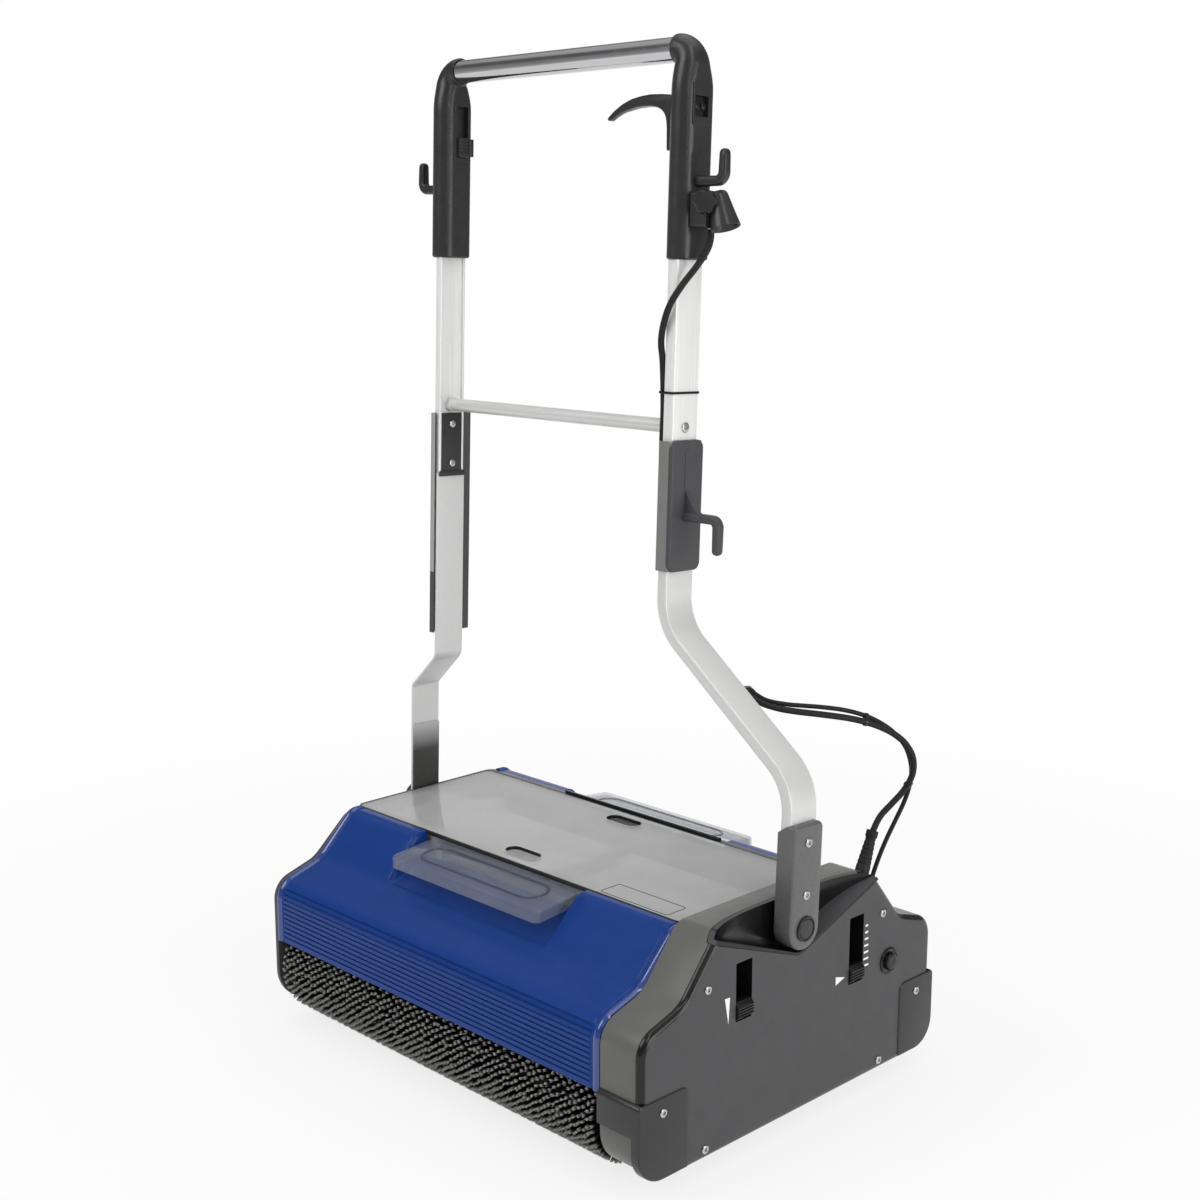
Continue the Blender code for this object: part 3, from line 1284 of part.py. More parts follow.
def build_handle():
    tilt = joint_empty("handle_tilt", (0, 0, PIVOT_Z))
    finish("right_pivot_bracket", pivot_bracket(1), DARK_GREY, tilt)
    finish("left_pivot_bracket", pivot_bracket(-1), DARK_GREY, tilt)
    finish("right_arm", right_arm(), ALUMINIUM, tilt)
    finish("left_arm", left_arm(), ALUMINIUM, tilt)
    finish("right_upright", upright(RIGHT_LEG, -1), ALUMINIUM, tilt)
    finish("left_upright", upright(LEFT_LEG, 1), ALUMINIUM, tilt)
    finish("crossbar", crossbar(), ALUMINIUM, tilt)
    finish("top_bar", top_bar(), CHROME, tilt)
    finish("right_grip", right_grip(), BLACK, tilt)
    finish("left_grip", left_grip(), BLACK, tilt)
    finish("right_cable_hook", cable_hook(GRIP_OUT_RIGHT, 1), BLACK, tilt)
    finish("left_cable_hook", cable_hook(GRIP_OUT_LEFT, -1), BLACK, tilt)
    finish("inlet_block", inlet_block(), BLACK, tilt)
    finish("hook_bracket", hook_bracket(), BLACK, tilt)
    finish("left_strip", left_strip(), DARK_GREY, tilt)
    finish("clamp_plate", clamp_plate(), BLACK, tilt)
    finish("handle_lead", tube(handle_lead(), CABLE_R), RUBBER, tilt)
    trigger_axis = joint_empty("trigger_axis", (TRIGGER_X, 0, TRIGGER_Z), tilt)
    finish("trigger", trigger(), BLACK, trigger_axis)
    catch_slide = joint_empty("catch_slide", (GRIP_IN_LEFT, CATCH_BACK, CATCH_LOW), tilt)
    finish("slide_catch", slide_catch(), BLACK, catch_slide)
    rocker_axis = joint_empty("rocker_axis", (GRIP_OUT_RIGHT - ROCKER_T, 0, ROCKER_Z), tilt)
    finish("rocker_switch", rocker(), BLACK, rocker_axis)
    tilt.rotation_euler.x = -LEAN
    finish("right_pivot_pin", pivot_pin(1), BLACK)
    finish("left_pivot_pin", pivot_pin(-1), BLACK)


def build_leads():
    outward = boot_point(BOOT_LENGTH) - boot_point(0)
    base = boot_point(-BOOT_SEAT)
    finish("cable_boot", cone(base, boot_point(BOOT_LENGTH), BOOT_R, BOOT_TIP_R, 16), RUBBER)
    lead = loop_route(tie_end(), boot_point(BOOT_LENGTH + 3 * GAP), LEAD_BOW)
    finish("lead_loop", tube(lead, CABLE_R), RUBBER)
    beside = Vector((0, CABLE_R + THIN_R + 7 * GAP, 0))
    thin = loop_route(tie_end() + beside, thin_lead_hole() - 0.1 * outward, THIN_BOW)
    finish("thin_lead_loop", tube(thin, THIN_R), RUBBER)


build_body()
build_drive()
build_wheels()
build_controls()
build_handle()
build_leads()
bpy.context.view_layer.update()
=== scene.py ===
"""Looks of the twin-roller floor scrubber: fine surfaces, materials, leads, light and camera
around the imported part. X runs along the brushes, -Y is the front, Z is up, in metres."""
import math
import random

import bmesh
import bpy
from mathutils import Matrix, Vector


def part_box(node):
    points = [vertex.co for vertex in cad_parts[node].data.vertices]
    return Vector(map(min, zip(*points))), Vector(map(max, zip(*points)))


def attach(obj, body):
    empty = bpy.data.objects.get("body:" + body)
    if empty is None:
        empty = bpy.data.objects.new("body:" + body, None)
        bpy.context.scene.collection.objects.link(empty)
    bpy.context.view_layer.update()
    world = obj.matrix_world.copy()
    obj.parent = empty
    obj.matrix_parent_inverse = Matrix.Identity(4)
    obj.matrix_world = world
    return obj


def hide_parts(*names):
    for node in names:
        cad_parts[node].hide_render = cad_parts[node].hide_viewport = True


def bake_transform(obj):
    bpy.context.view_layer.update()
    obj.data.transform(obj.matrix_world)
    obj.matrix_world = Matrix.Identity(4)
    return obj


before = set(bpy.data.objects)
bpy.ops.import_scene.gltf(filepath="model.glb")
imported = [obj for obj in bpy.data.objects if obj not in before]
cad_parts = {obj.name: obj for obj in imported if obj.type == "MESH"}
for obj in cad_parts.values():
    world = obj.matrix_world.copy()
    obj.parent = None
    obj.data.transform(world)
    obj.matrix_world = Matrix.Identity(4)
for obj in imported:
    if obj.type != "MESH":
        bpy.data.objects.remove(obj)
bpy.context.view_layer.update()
SCENE = bpy.context.scene

# Sizes of the body, read from the frame where a node's box gives them

GAP = 0.0003
PLATE_OUT, PLATE_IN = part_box("left_side_plate")[0].x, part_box("left_side_plate")[1].x
FRAME_IN, FRAME_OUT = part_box("right_side_frame")[0].x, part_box("right_side_frame")[1].x
COVER_IN, COVER_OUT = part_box("right_side_cover")[0].x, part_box("right_side_cover")[1].x
LEFT_END, RIGHT_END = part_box("front_cover")[0].x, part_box("front_cover")[1].x
LID_LEFT, LID_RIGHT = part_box("lid")[0].x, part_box("lid")[1].x
LID_HALF, LID_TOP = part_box("lid")[1].y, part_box("lid")[1].z
LID_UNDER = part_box("lid")[0].z
LID_MIDDLE = (LID_LEFT + LID_RIGHT) / 2
TANK_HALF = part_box("recovery_tank")[1].y
TANK_FLOOR, TANK_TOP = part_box("recovery_tank")[0].z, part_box("recovery_tank")[1].z
HALF_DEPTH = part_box("right_side_frame")[1].y
SIDE_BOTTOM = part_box("right_side_frame")[0].z
HOUSING_TOP = 0.250
FOOT_R = 0.045
SHOULDER_Z, SHOULDER_R = 0.172, 0.028
WAIST_Y, WAIST_Z, WAIST_R = 0.174, 0.190, 0.040
BROW_Y, BROW_R = 0.124, 0.022
COVER_EDGE_W, COVER_EDGE_D = 0.0095, 0.0062
CAVITY_WALL, CAVITY_DROP, WEB = 0.009, 0.011, 0.004
POCKET_HALF, POCKET_TOP, POCKET_FLOOR = 0.145, 0.247, 0.193
POCKET_FLOOR_R, POCKET_DEPTH, LINER = 0.020, 0.030, 0.0025
BRUSH_Y = (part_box("rear_brush")[0].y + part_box("rear_brush")[1].y) / 2
BRUSH_Z = (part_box("rear_brush")[0].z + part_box("rear_brush")[1].z) / 2
BRUSH_LEFT, BRUSH_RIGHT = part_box("rear_brush")[0].x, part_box("rear_brush")[1].x
BRUSH_R = 0.064
CORE_R = 0.040

# Sizes of the handle, built upright and then leaned back about its pivot

PIVOT_Z = 0.224
LEAN_ANGLE = math.radians(2.0)
HALF_SPAN = 0.3175
BRACKET_T, BRACKET_W, BRACKET_TOP = 0.023, 0.046, 0.335
ARM_X, ARM_T, ARM_W, ARM_FOOT = 0.303, 0.013, 0.042, 0.262
BEND_LOW, RIGHT_BEND_HIGH, LEFT_BEND_HIGH = 0.374, 0.511, 0.417
RIGHT_BEND_R, LEFT_BEND_R = 0.060, 0.012
RIGHT_LEG, LEFT_LEG = 0.121, -0.259
JOINT_Z = 0.640
UPRIGHT_T, UPRIGHT_W = 0.014, 0.038
CHANNEL_W, CHANNEL_D = 0.031, 0.003
CROSSBAR_Z, CROSSBAR_R = 0.721, 0.0075
GRIP_BOTTOM = 0.896
LEFT_THIN, LEFT_ARM_T, LEFT_FOOT = 0.005, 0.003, 0.236
LEFT_BOSS_R, LEFT_PLATE_TOP, LEFT_PLATE_W = 0.0165, 0.322, 0.0405
GRIP_W, GRIP_D = 0.030, 0.044
BAR_Z, BAR_R = 1.104, 0.013
GRIP_IN_RIGHT, GRIP_OUT_RIGHT = RIGHT_LEG - GRIP_W / 2, RIGHT_LEG + GRIP_W / 2
GRIP_IN_LEFT, GRIP_OUT_LEFT = LEFT_LEG + GRIP_W / 2, LEFT_LEG - GRIP_W / 2

# Leads and inlet

INLET_LOW, INLET_TOP, INLET_T, INLET_FRONT, INLET_BACK = 0.925, 0.962, 0.022, -0.013, 0.021
CABLE_R, THIN_R = 0.0035, 0.0025
TIE_X, TIE_Z = 0.200, 0.446
LEAD_Y = ARM_W / 2 + CABLE_R + GAP
TIE_Y = LEAD_Y + 0.005
BOOT_FOOT = Vector((0.290, 0.130, 0.246))
BOOT_TILT = math.radians(22)
BOOT_UP = Vector((0, math.sin(BOOT_TILT), math.cos(BOOT_TILT)))
BOOT_LENGTH, BOOT_SEAT = 0.042, 0.010
BOOT_R, BOOT_TIP_R = 0.008, 0.0048

PIVOT = Vector((0, 0, PIVOT_Z))
LEAN = Matrix.Translation(PIVOT) @ Matrix.Rotation(-LEAN_ANGLE, 4, "X") @ Matrix.Translation(-PIVOT)
HANDLE_BODIES = ("handle", "trigger", "slide_catch", "rocker")


# Outlines and shapes

def corner_arc(before, here, after, radius, steps):
    """Points that round one corner; the arc takes at most half of either side."""
    if radius == 0:
        return [tuple(here)]
    back, ahead = before - here, after - here
    half = back.angle(ahead) / 2
    reach = min(radius / math.tan(half), 0.49 * back.length, 0.49 * ahead.length)
    start, end = here + back.normalized() * reach, here + ahead.normalized() * reach
    centre = here + (back.normalized() + ahead.normalized()).normalized() * (reach / math.cos(half))
    spoke = start - centre
    sweep_angle = spoke.angle_signed(end - centre)
    return [tuple(centre + Matrix.Rotation(-sweep_angle * step / steps, 2) @ spoke)
            for step in range(steps + 1)]


def rounded(corners, steps=12, closed=True):
    """An outline through corners given as (a, b, radius)."""
    points = []
    for index, (a, b, radius) in enumerate(corners):
        if not closed and index in (0, len(corners) - 1):
            points.append((a, b))
            continue
        before = Vector(corners[index - 1][:2])
        after = Vector(corners[(index + 1) % len(corners)][:2])
        points += corner_arc(before, Vector((a, b)), after, radius, steps)
    return points


def oblong(a_low, a_high, b_low, b_high, radius, steps=8):
    return rounded([(a_low, b_low, radius), (a_high, b_low, radius),
                    (a_high, b_high, radius), (a_low, b_high, radius)], steps)


def inset(outline, distance):
    """A closed outline moved inwards, or outwards by a distance below zero."""
    points = [Vector(point) for point in outline]
    area = sum(a.x * b.y - b.x * a.y for a, b in zip(points, points[1:] + points[:1]))
    side = distance if area > 0 else -distance
    moved = []
    for index, point in enumerate(points):
        back = (point - points[index - 1]).normalized()
        ahead = (points[(index + 1) % len(points)] - point).normalized()
        along = (back + ahead).normalized()
        reach = side / max(0.5, along.dot(ahead))
        moved.append((point.x - along.y * reach, point.y + along.x * reach))
    return moved


def mirrored(half):
    return half + [(-y, z, radius) for y, z, radius in reversed(half)]


def hat(steps=14):
    """The body's side outline as (y, z)."""
    return rounded(mirrored([
        (HALF_DEPTH, SIDE_BOTTOM, FOOT_R), (HALF_DEPTH, SHOULDER_Z, SHOULDER_R),
        (WAIST_Y, WAIST_Z, WAIST_R), (BROW_Y, HOUSING_TOP, BROW_R)]), steps)


def spot(axis, a, b, height):
    """A point of an outline that is extruded along an axis."""
    return {"X": (height, a, b), "Y": (a, height, b), "Z": (a, b, height)}[axis]


def loft(rings, foot=True):
    """A skin over rings of equal count, closed at its end and, with a foot, at its start."""
    shape = bmesh.new()
    rows = [[shape.verts.new(point) for point in ring] for ring in rings]
    for first, second in zip(rows, rows[1:]):
        for index in range(len(first)):
            shape.faces.new((first[index - 1], first[index], second[index], second[index - 1]))
    if foot:
        shape.faces.new(rows[0])
    shape.faces.new(rows[-1])
    bmesh.ops.recalc_face_normals(shape, faces=shape.faces)
    return shape


def closed_loft(rings):
    """A skin over rings that closes on itself, last ring to first."""
    shape = bmesh.new()
    rows = [[shape.verts.new(point) for point in ring] for ring in rings]
    for first, second in zip(rows, rows[1:] + rows[:1]):
        for index in range(len(first)):
            shape.faces.new((first[index - 1], first[index], second[index], second[index - 1]))
    bmesh.ops.recalc_face_normals(shape, faces=shape.faces)
    return shape


def slab(outline, axis, low, high, low_edge=0.0, high_edge=0.0, steps=4):
    """An outline extruded along an axis, with its two rims rounded."""
    rings = []
    for end, edge, way in ((low, low_edge, 1), (high, high_edge, -1)):
        levels = []
        for step in range(steps + 1) if edge else (steps,):
            turn = math.pi / 2 * step / steps
            level = end + way * edge * (1 - math.cos(turn))
            ring = inset(outline, edge * (1 - math.sin(turn))) if step < steps else outline
            levels.append([spot(axis, a, b, level) for a, b in ring])
        rings += levels if way > 0 else levels[::-1]
    return loft(rings)


def block(low, high, radius=0.0, axis="Z", edge=0.0):
    """A box with rounded upright corners and rims."""
    a, b, h = {"X": (1, 2, 0), "Y": (0, 2, 1), "Z": (0, 1, 2)}[axis]
    if radius:
        outline = oblong(low[a], high[a], low[b], high[b], radius)
    else:
        outline = [(low[a], low[b]), (high[a], low[b]), (high[a], high[b]), (low[a], high[b])]
    return slab(outline, axis, low[h], high[h], edge, edge)


def revolve(profile, origin, direction, sides=32, lobes=0, lobe_depth=0.0):
    """A profile of (radius, height) points turned about a line; lobes make its outline wavy."""
    turn = Vector(direction).to_track_quat("Z", "Y").to_matrix()
    rings = []
    for radius, height in profile:
        ring = []
        for step in range(sides):
            angle = 2 * math.pi * step / sides
            reach = radius * (1 + lobe_depth * math.cos(lobes * angle))
            place = Vector((reach * math.cos(angle), reach * math.sin(angle), height))
            ring.append(Vector(origin) + turn @ place)
        rings.append(ring)
    shape = loft(rings)
    bmesh.ops.remove_doubles(shape, verts=shape.verts, dist=0.000002)
    return shape


def rod(start, end, radius, edge=0.0005, sides=48):
    """A round bar with eased ends."""
    along = Vector(end) - Vector(start)
    length = along.length
    profile = [(0, 0), (radius - edge, 0), (radius, edge), (radius, length - edge),
               (radius - edge, length), (0, length)]
    return revolve(profile, start, along, sides)


def sweep(path, ring_at):
    """A skin along a path in the XZ plane; ring_at(share) gives (across, y) points."""
    points = [Vector(point) for point in path]
    lengths = [0.0]
    for a, b in zip(points, points[1:]):
        lengths.append(lengths[-1] + (b - a).length)
    rings = []
    for index, point in enumerate(points):
        back = (point - points[index - 1]).normalized() if index else None
        ahead = (points[index + 1] - point).normalized() if index + 1 < len(points) else None
        along = ((back or ahead) + (ahead or back)).normalized()
        normal = Vector((-along.y, along.x)) / along.dot(ahead or back)
        rings.append([(point.x + normal.x * u, v, point.y + normal.y * u)
                      for u, v in ring_at(lengths[index] / lengths[-1])])
    return loft(rings)


def smooth_route(points, spacing):
    """Evenly spaced points on a smooth curve through a route's own points."""
    knots = [Vector(point) for point in points]
    knots = [2 * knots[0] - knots[1]] + knots + [2 * knots[-1] - knots[-2]]
    fine = []
    for a, b, c, d in zip(knots, knots[1:], knots[2:], knots[3:]):
        for step in range(40):
            t = step / 40
            fine.append(0.5 * (2 * b + (c - a) * t + (2 * a - 5 * b + 4 * c - d) * t ** 2
                               + (3 * b - a - 3 * c + d) * t ** 3))
    fine.append(knots[-2])
    lengths = [0.0]
    for a, b in zip(fine, fine[1:]):
        lengths.append(lengths[-1] + (b - a).length)
    count = max(2, round(lengths[-1] / spacing))
    route = []
    index = 0
    for step in range(count + 1):
        target = lengths[-1] * step / count
        while index < len(fine) - 2 and lengths[index + 1] < target:
            index += 1
        share = (target - lengths[index]) / (lengths[index + 1] - lengths[index])
        route.append(fine[index].lerp(fine[index + 1], share))
    return route


def route_length(route):
    return sum((b - a).length for a, b in zip(route, route[1:]))


def tube(route, radius, sides=14):
    """A round skin along a route in space."""
    rings = []
    normal = Vector((0.31, 0.17, 0.93))
    for index, point in enumerate(route):
        along = (route[min(index + 1, len(route) - 1)] - route[max(index - 1, 0)]).normalized()
        normal = (normal - along * normal.dot(along)).normalized()
        across = along.cross(normal)
        ring = []
        for step in range(sides):
            angle = 2 * math.pi * step / sides
            ring.append(point + radius * (math.cos(angle) * normal + math.sin(angle) * across))
        rings.append(ring)
    return loft(rings)


def merge(*shapes):
    """Several shapes in one mesh."""
    whole = bmesh.new()
    for shape in shapes:
        mesh = bpy.data.meshes.new("work")
        shape.to_mesh(mesh)
        shape.free()
        whole.from_mesh(mesh)
        bpy.data.meshes.remove(mesh)
    return whole


def work_object(shape):
    mesh = bpy.data.meshes.new("work")
    shape.to_mesh(mesh)
    shape.free()
    thing = bpy.data.objects.new("work", mesh)
    SCENE.collection.objects.link(thing)
    return thing


def boolean(shape, tools, operation="DIFFERENCE"):
    """Cut, join or intersect a shape with tool shapes, which are used up."""
    thing = work_object(shape)
    others = [work_object(tool) for tool in tools]
    for other in others:
        modifier = thing.modifiers.new("boolean", "BOOLEAN")
        modifier.operation = operation
        modifier.object = other
    bpy.context.view_layer.update()
    depsgraph = bpy.context.evaluated_depsgraph_get()
    mesh = bpy.data.meshes.new_from_object(thing.evaluated_get(depsgraph))
    result = bmesh.new()
    result.from_mesh(mesh)
    bmesh.ops.remove_doubles(result, verts=result.verts, dist=0.000002)
    for spare in [thing] + others:
        data = spare.data
        bpy.data.objects.remove(spare)
        bpy.data.meshes.remove(data)
    bpy.data.meshes.remove(mesh)
    return result


def shell(shape, thickness):
    """An open surface made into a skin, thickened inwards."""
    thing = work_object(shape)
    modifier = thing.modifiers.new("skin", "SOLIDIFY")
    modifier.thickness = thickness
    modifier.offset = -1
    modifier.use_even_offset = True
    bpy.context.view_layer.update()
    mesh = bpy.data.meshes.new_from_object(thing.evaluated_get(bpy.context.evaluated_depsgraph_get()))
    result = bmesh.new()
    result.from_mesh(mesh)
    data = thing.data
    bpy.data.objects.remove(thing)
    bpy.data.meshes.remove(data)
    bpy.data.meshes.remove(mesh)
    return result


# Materials

def srgb(red, green, blue):
    """A screen colour of 0 to 255 as the shader's linear colour."""
    linear = []
    for value in (red, green, blue):
        share = value / 255
        linear.append(share / 12.92 if share <= 0.04045 else ((share + 0.055) / 1.055) ** 2.4)
    return (*linear, 1.0)


def new_look(name):
    material = bpy.data.materials.new(name)
    material.use_nodes = True
    tree = material.node_tree
    return material, tree, tree.nodes["Principled BSDF"]


def noise(tree, scale, detail=3.0, stretch=(1, 1, 1)):
    """Noise in the piece's own coordinates, in waves per metre."""
    place = tree.nodes.new("ShaderNodeTexCoord")
    mapping = tree.nodes.new("ShaderNodeMapping")
    mapping.inputs["Scale"].default_value = stretch
    texture = tree.nodes.new("ShaderNodeTexNoise")
    texture.inputs["Scale"].default_value = scale
    texture.inputs["Detail"].default_value = detail
    tree.links.new(place.outputs["Object"], mapping.inputs["Vector"])
    tree.links.new(mapping.outputs["Vector"], texture.inputs["Vector"])
    return texture.outputs["Fac"]


def spread(tree, value, low, high, start=0.3, end=0.7):
    node = tree.nodes.new("ShaderNodeMapRange")
    for socket, number in (("From Min", start), ("From Max", end), ("To Min", low), ("To Max", high)):
        node.inputs[socket].default_value = number
    tree.links.new(value, node.inputs["Value"])
    return node.outputs["Result"]


def tint(tree, value, first, second):
    node = tree.nodes.new("ShaderNodeMix")
    node.data_type = "RGBA"
    node.inputs["A"].default_value = first
    node.inputs["B"].default_value = second
    tree.links.new(value, node.inputs["Factor"])
    return node.outputs["Result"]


def shade(colour, factor):
    return (*(min(1.0, value * factor) for value in colour[:3]), 1.0)


def bump(tree, shader, value, strength, distance):
    node = tree.nodes.new("ShaderNodeBump")
    node.inputs["Strength"].default_value = strength
    node.inputs["Distance"].default_value = distance
    tree.links.new(value, node.inputs["Height"])
    tree.links.new(node.outputs["Normal"], shader.inputs["Normal"])


def moulded(name, colour, roughness, grain=1800, grain_depth=0.00004, mottle=0.05, gloss=0.25):
    """Moulded plastic: a fine spark-eroded grain, faint cloudiness and uneven gloss."""
    material, tree, shader = new_look(name)
    cloud = noise(tree, 30, 5.0)
    tree.links.new(tint(tree, spread(tree, cloud, 0, 1), shade(colour, 1 - mottle),
                        shade(colour, 1 + mottle)),
                   shader.inputs["Base Color"])
    tree.links.new(spread(tree, noise(tree, 70), roughness - 0.05, roughness + 0.06),
                   shader.inputs["Roughness"])
    bump(tree, shader, noise(tree, grain, 2.0), 0.5, grain_depth)
    shader.inputs["Specular IOR Level"].default_value = gloss
    return material


def metal(name, colour, roughness, stretch, depth=0.00001, metallic=1.0, mottle=0.05):
    """Metal with fine drawn lines along one direction."""
    material, tree, shader = new_look(name)
    lines = noise(tree, 260, 4.0, stretch)
    tree.links.new(tint(tree, spread(tree, lines, 0, 1), shade(colour, 1 - mottle),
                        shade(colour, 1 + mottle)),
                   shader.inputs["Base Color"])
    tree.links.new(spread(tree, noise(tree, 40), roughness - 0.05, roughness + 0.05),
                   shader.inputs["Roughness"])
    bump(tree, shader, lines, 0.4, depth)
    shader.inputs["Metallic"].default_value = metallic
    return material


def clear(name, colour, alpha, roughness=0.06, haze=0.015):
    """Clear plastic: partly see-through, glossy, with a faint uneven haze."""
    material, tree, shader = new_look(name)
    cloud = noise(tree, 14, 4.0)
    tree.links.new(tint(tree, spread(tree, cloud, 0, 1), shade(colour, 0.96), shade(colour, 1.04)),
                   shader.inputs["Base Color"])
    tree.links.new(spread(tree, cloud, alpha - haze, alpha + haze), shader.inputs["Alpha"])
    tree.links.new(spread(tree, noise(tree, 90), roughness, roughness + 0.05), shader.inputs["Roughness"])
    return material


def bristle_look():
    """Nylon tufts: pale strands with painted shade that darkens them towards the core, and a tone that
    differs strand by strand.
    """
    material, tree, shader = new_look("bristle")
    place = tree.nodes.new("ShaderNodeTexCoord")
    flat = tree.nodes.new("ShaderNodeVectorMath")
    flat.operation = "MULTIPLY"
    flat.inputs[1].default_value = (0, 1, 1)
    length = tree.nodes.new("ShaderNodeVectorMath")
    length.operation = "LENGTH"
    tree.links.new(place.outputs["Object"], flat.inputs[0])
    tree.links.new(flat.outputs["Vector"], length.inputs[0])
    # painted shade: the strands are dark deep in the tufts, where shade falls between them, and pale only
    # near their tips
    height = spread(tree, length.outputs["Value"], 0, 1, BRUSH_R - 0.0046, BRUSH_R - 0.0006)
    base = tint(tree, height, srgb(9, 9, 9), srgb(206, 205, 202))
    strand = tree.nodes.new("ShaderNodeMix")
    strand.data_type = "RGBA"
    strand.blend_type = "MULTIPLY"
    strand.inputs["Factor"].default_value = 1.0
    tree.links.new(base, strand.inputs["A"])
    tree.links.new(tint(tree, spread(tree, noise(tree, 420), 0, 1), shade(srgb(255, 255, 255), 0.62),
                        srgb(255, 255, 255)), strand.inputs["B"])
    tree.links.new(strand.outputs["Result"], shader.inputs["Base Color"])
    tree.links.new(spread(tree, noise(tree, 200), 0.45, 0.62), shader.inputs["Roughness"])
    return material


def foot_painted_reflection_look():
    """The left arm's foot: bare metal above, with a painted dark reflection that darkens it downwards."""
    material, tree, shader = new_look("foot_metal_painted_reflection")
    place = tree.nodes.new("ShaderNodeTexCoord")
    parts = tree.nodes.new("ShaderNodeSeparateXYZ")
    tree.links.new(place.outputs["Object"], parts.inputs[0])
    # painted reflection: the colour goes from pale metal to dark grey towards the bottom, where the polished
    # face shows a dark reflection
    height = spread(tree, parts.outputs["Z"], 0, 1, 0.288, 0.328)
    tree.links.new(tint(tree, height, srgb(66, 66, 65), srgb(196, 196, 195)), shader.inputs["Base Color"])
    tree.links.new(spread(tree, noise(tree, 60), 0.26, 0.36), shader.inputs["Roughness"])
    bump(tree, shader, noise(tree, 900, 2.0), 0.4, 0.00002)
    shader.inputs["Metallic"].default_value = 0.2
    return material


ALONG_Z = (1, 1, 0.03)
ALONG_X = (0.03, 1, 1)
LOOKS = {
    "blue_plastic": moulded("blue_plastic", srgb(20, 57, 127), 0.20, 900, 0.00001, 0.03, 0.18),
    "blue_gloss": moulded("blue_gloss", srgb(18, 54, 126), 0.13, 700, 0.000004, 0.02, 0.95),
    "dark_plastic": moulded("dark_plastic", srgb(72, 72, 74), 0.40, 2200, 0.00005),
    "grey_plastic": moulded("grey_plastic", srgb(98, 98, 95), 0.34, 2200, 0.00003),
    "black_plastic": moulded("black_plastic", srgb(41, 41, 42), 0.30, 1500, 0.000015, 0.05, 0.45),
    "bracket_plastic": moulded("bracket_plastic", srgb(90, 90, 91), 0.26, 2000, 0.00002, 0.05, 0.5),
    "gloss_plastic": moulded("gloss_plastic", srgb(22, 22, 23), 0.18, 900, 0.00001, 0.05, 0.35),
    "black_rubber": moulded("black_rubber", srgb(30, 30, 31), 0.50, 1400, 0.00006, 0.10),
    "bristle": bristle_look(),
    "clear_plastic": clear("clear_plastic", srgb(192, 193, 192), 0.54, 0.02),
    "clear_grip": clear("clear_grip", srgb(136, 142, 156), 0.31, 0.03),
    "smoked": clear("smoked", srgb(70, 74, 92), 0.55, 0.05),
    "clear_edge": moulded("clear_edge", srgb(36, 37, 38), 0.20, 600, 0.00001),
    "tank_plastic": moulded("tank_plastic", srgb(188, 188, 186), 0.34, 700, 0.00003, 0.04),
    "aluminium": metal("aluminium", srgb(234, 234, 233), 0.34, ALONG_Z, metallic=0.25),
    "arm_metal": metal("arm_metal", srgb(212, 212, 211), 0.36, (1, 1, 1), 0.000004, 0.25, 0.02),
    "strip_metal": metal("strip_metal", srgb(168, 168, 167), 0.40, ALONG_Z, metallic=0.4),
    "pale_tube": metal("pale_tube", srgb(214, 214, 212), 0.40, ALONG_X, metallic=0.4),
    "chrome": metal("chrome", srgb(196, 196, 198), 0.10, ALONG_X, 0.000003),
    "steel": metal("steel", srgb(196, 196, 194), 0.26, (1, 1, 1)),
    "foot_metal_painted_reflection": foot_painted_reflection_look(),
    "sleeve_plastic": moulded("sleeve_plastic", srgb(120, 120, 118), 0.34, 2000, 0.00003),
    "tank_ledge": moulded("tank_ledge", srgb(242, 242, 240), 0.34, 700, 0.00003, 0.03),
    "white_print": moulded("white_print", srgb(236, 236, 234), 0.45, 1500, 0.00002, 0.03),
}


# Pieces

def add(name, shape, look, body, *nodes, sharp=35):
    """A piece in its material that rides on a body, or on none, and stands for CAD nodes."""
    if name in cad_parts:
        name += "_visual"
    if body in HANDLE_BODIES:
        bmesh.ops.transform(shape, matrix=LEAN, verts=shape.verts)
    mesh = bpy.data.meshes.new(name)
    shape.to_mesh(mesh)
    shape.free()
    mesh.materials.append(LOOKS[look])
    mesh.shade_smooth()
    mesh.set_sharp_from_angle(angle=math.radians(sharp))
    piece = bpy.data.objects.new(name, mesh)
    SCENE.collection.objects.link(piece)
    if body:
        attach(piece, body)
    if nodes:
        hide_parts(*nodes)
    return piece


def keep(look, *names, edge=0.0006):
    """CAD nodes whose shape is right: they get their material and softer edges."""
    for name in names:
        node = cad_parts[name]
        node.data.materials.clear()
        node.data.materials.append(LOOKS[look])
        node.data.shade_smooth()
        weld = node.modifiers.new("weld", "WELD")
        weld.merge_threshold = 0.000005
        flat = node.modifiers.new("flat", "DECIMATE")
        flat.decimate_type = "DISSOLVE"
        flat.angle_limit = math.radians(0.5)
        bevel = node.modifiers.new("edges", "BEVEL")
        bevel.width = edge
        bevel.segments = 2
        bevel.limit_method = "ANGLE"
        bevel.angle_limit = math.radians(40)
        bevel.harden_normals = True


def screw_head(place, direction, radius=0.0046):
    """A flat pan head with a rounded rim and a six-lobed recess."""
    rim = [(0, 0), (radius, 0), (radius, 0.0008), (0.97 * radius, 0.0013), (0.90 * radius, 0.0017),
           (0.80 * radius, 0.0019),
           (0.48 * radius, 0.0020)]
    head = revolve(rim, place, direction, 30)
    top = Vector(place) + Vector(direction).normalized() * 0.0006
    socket = revolve([(0, 0), (0.44 * radius, 0), (0.44 * radius, 0.004), (0, 0.004)], top, direction, 30,
                     6, 0.16)
    return boolean(head, [socket])


# Camera, floor and light

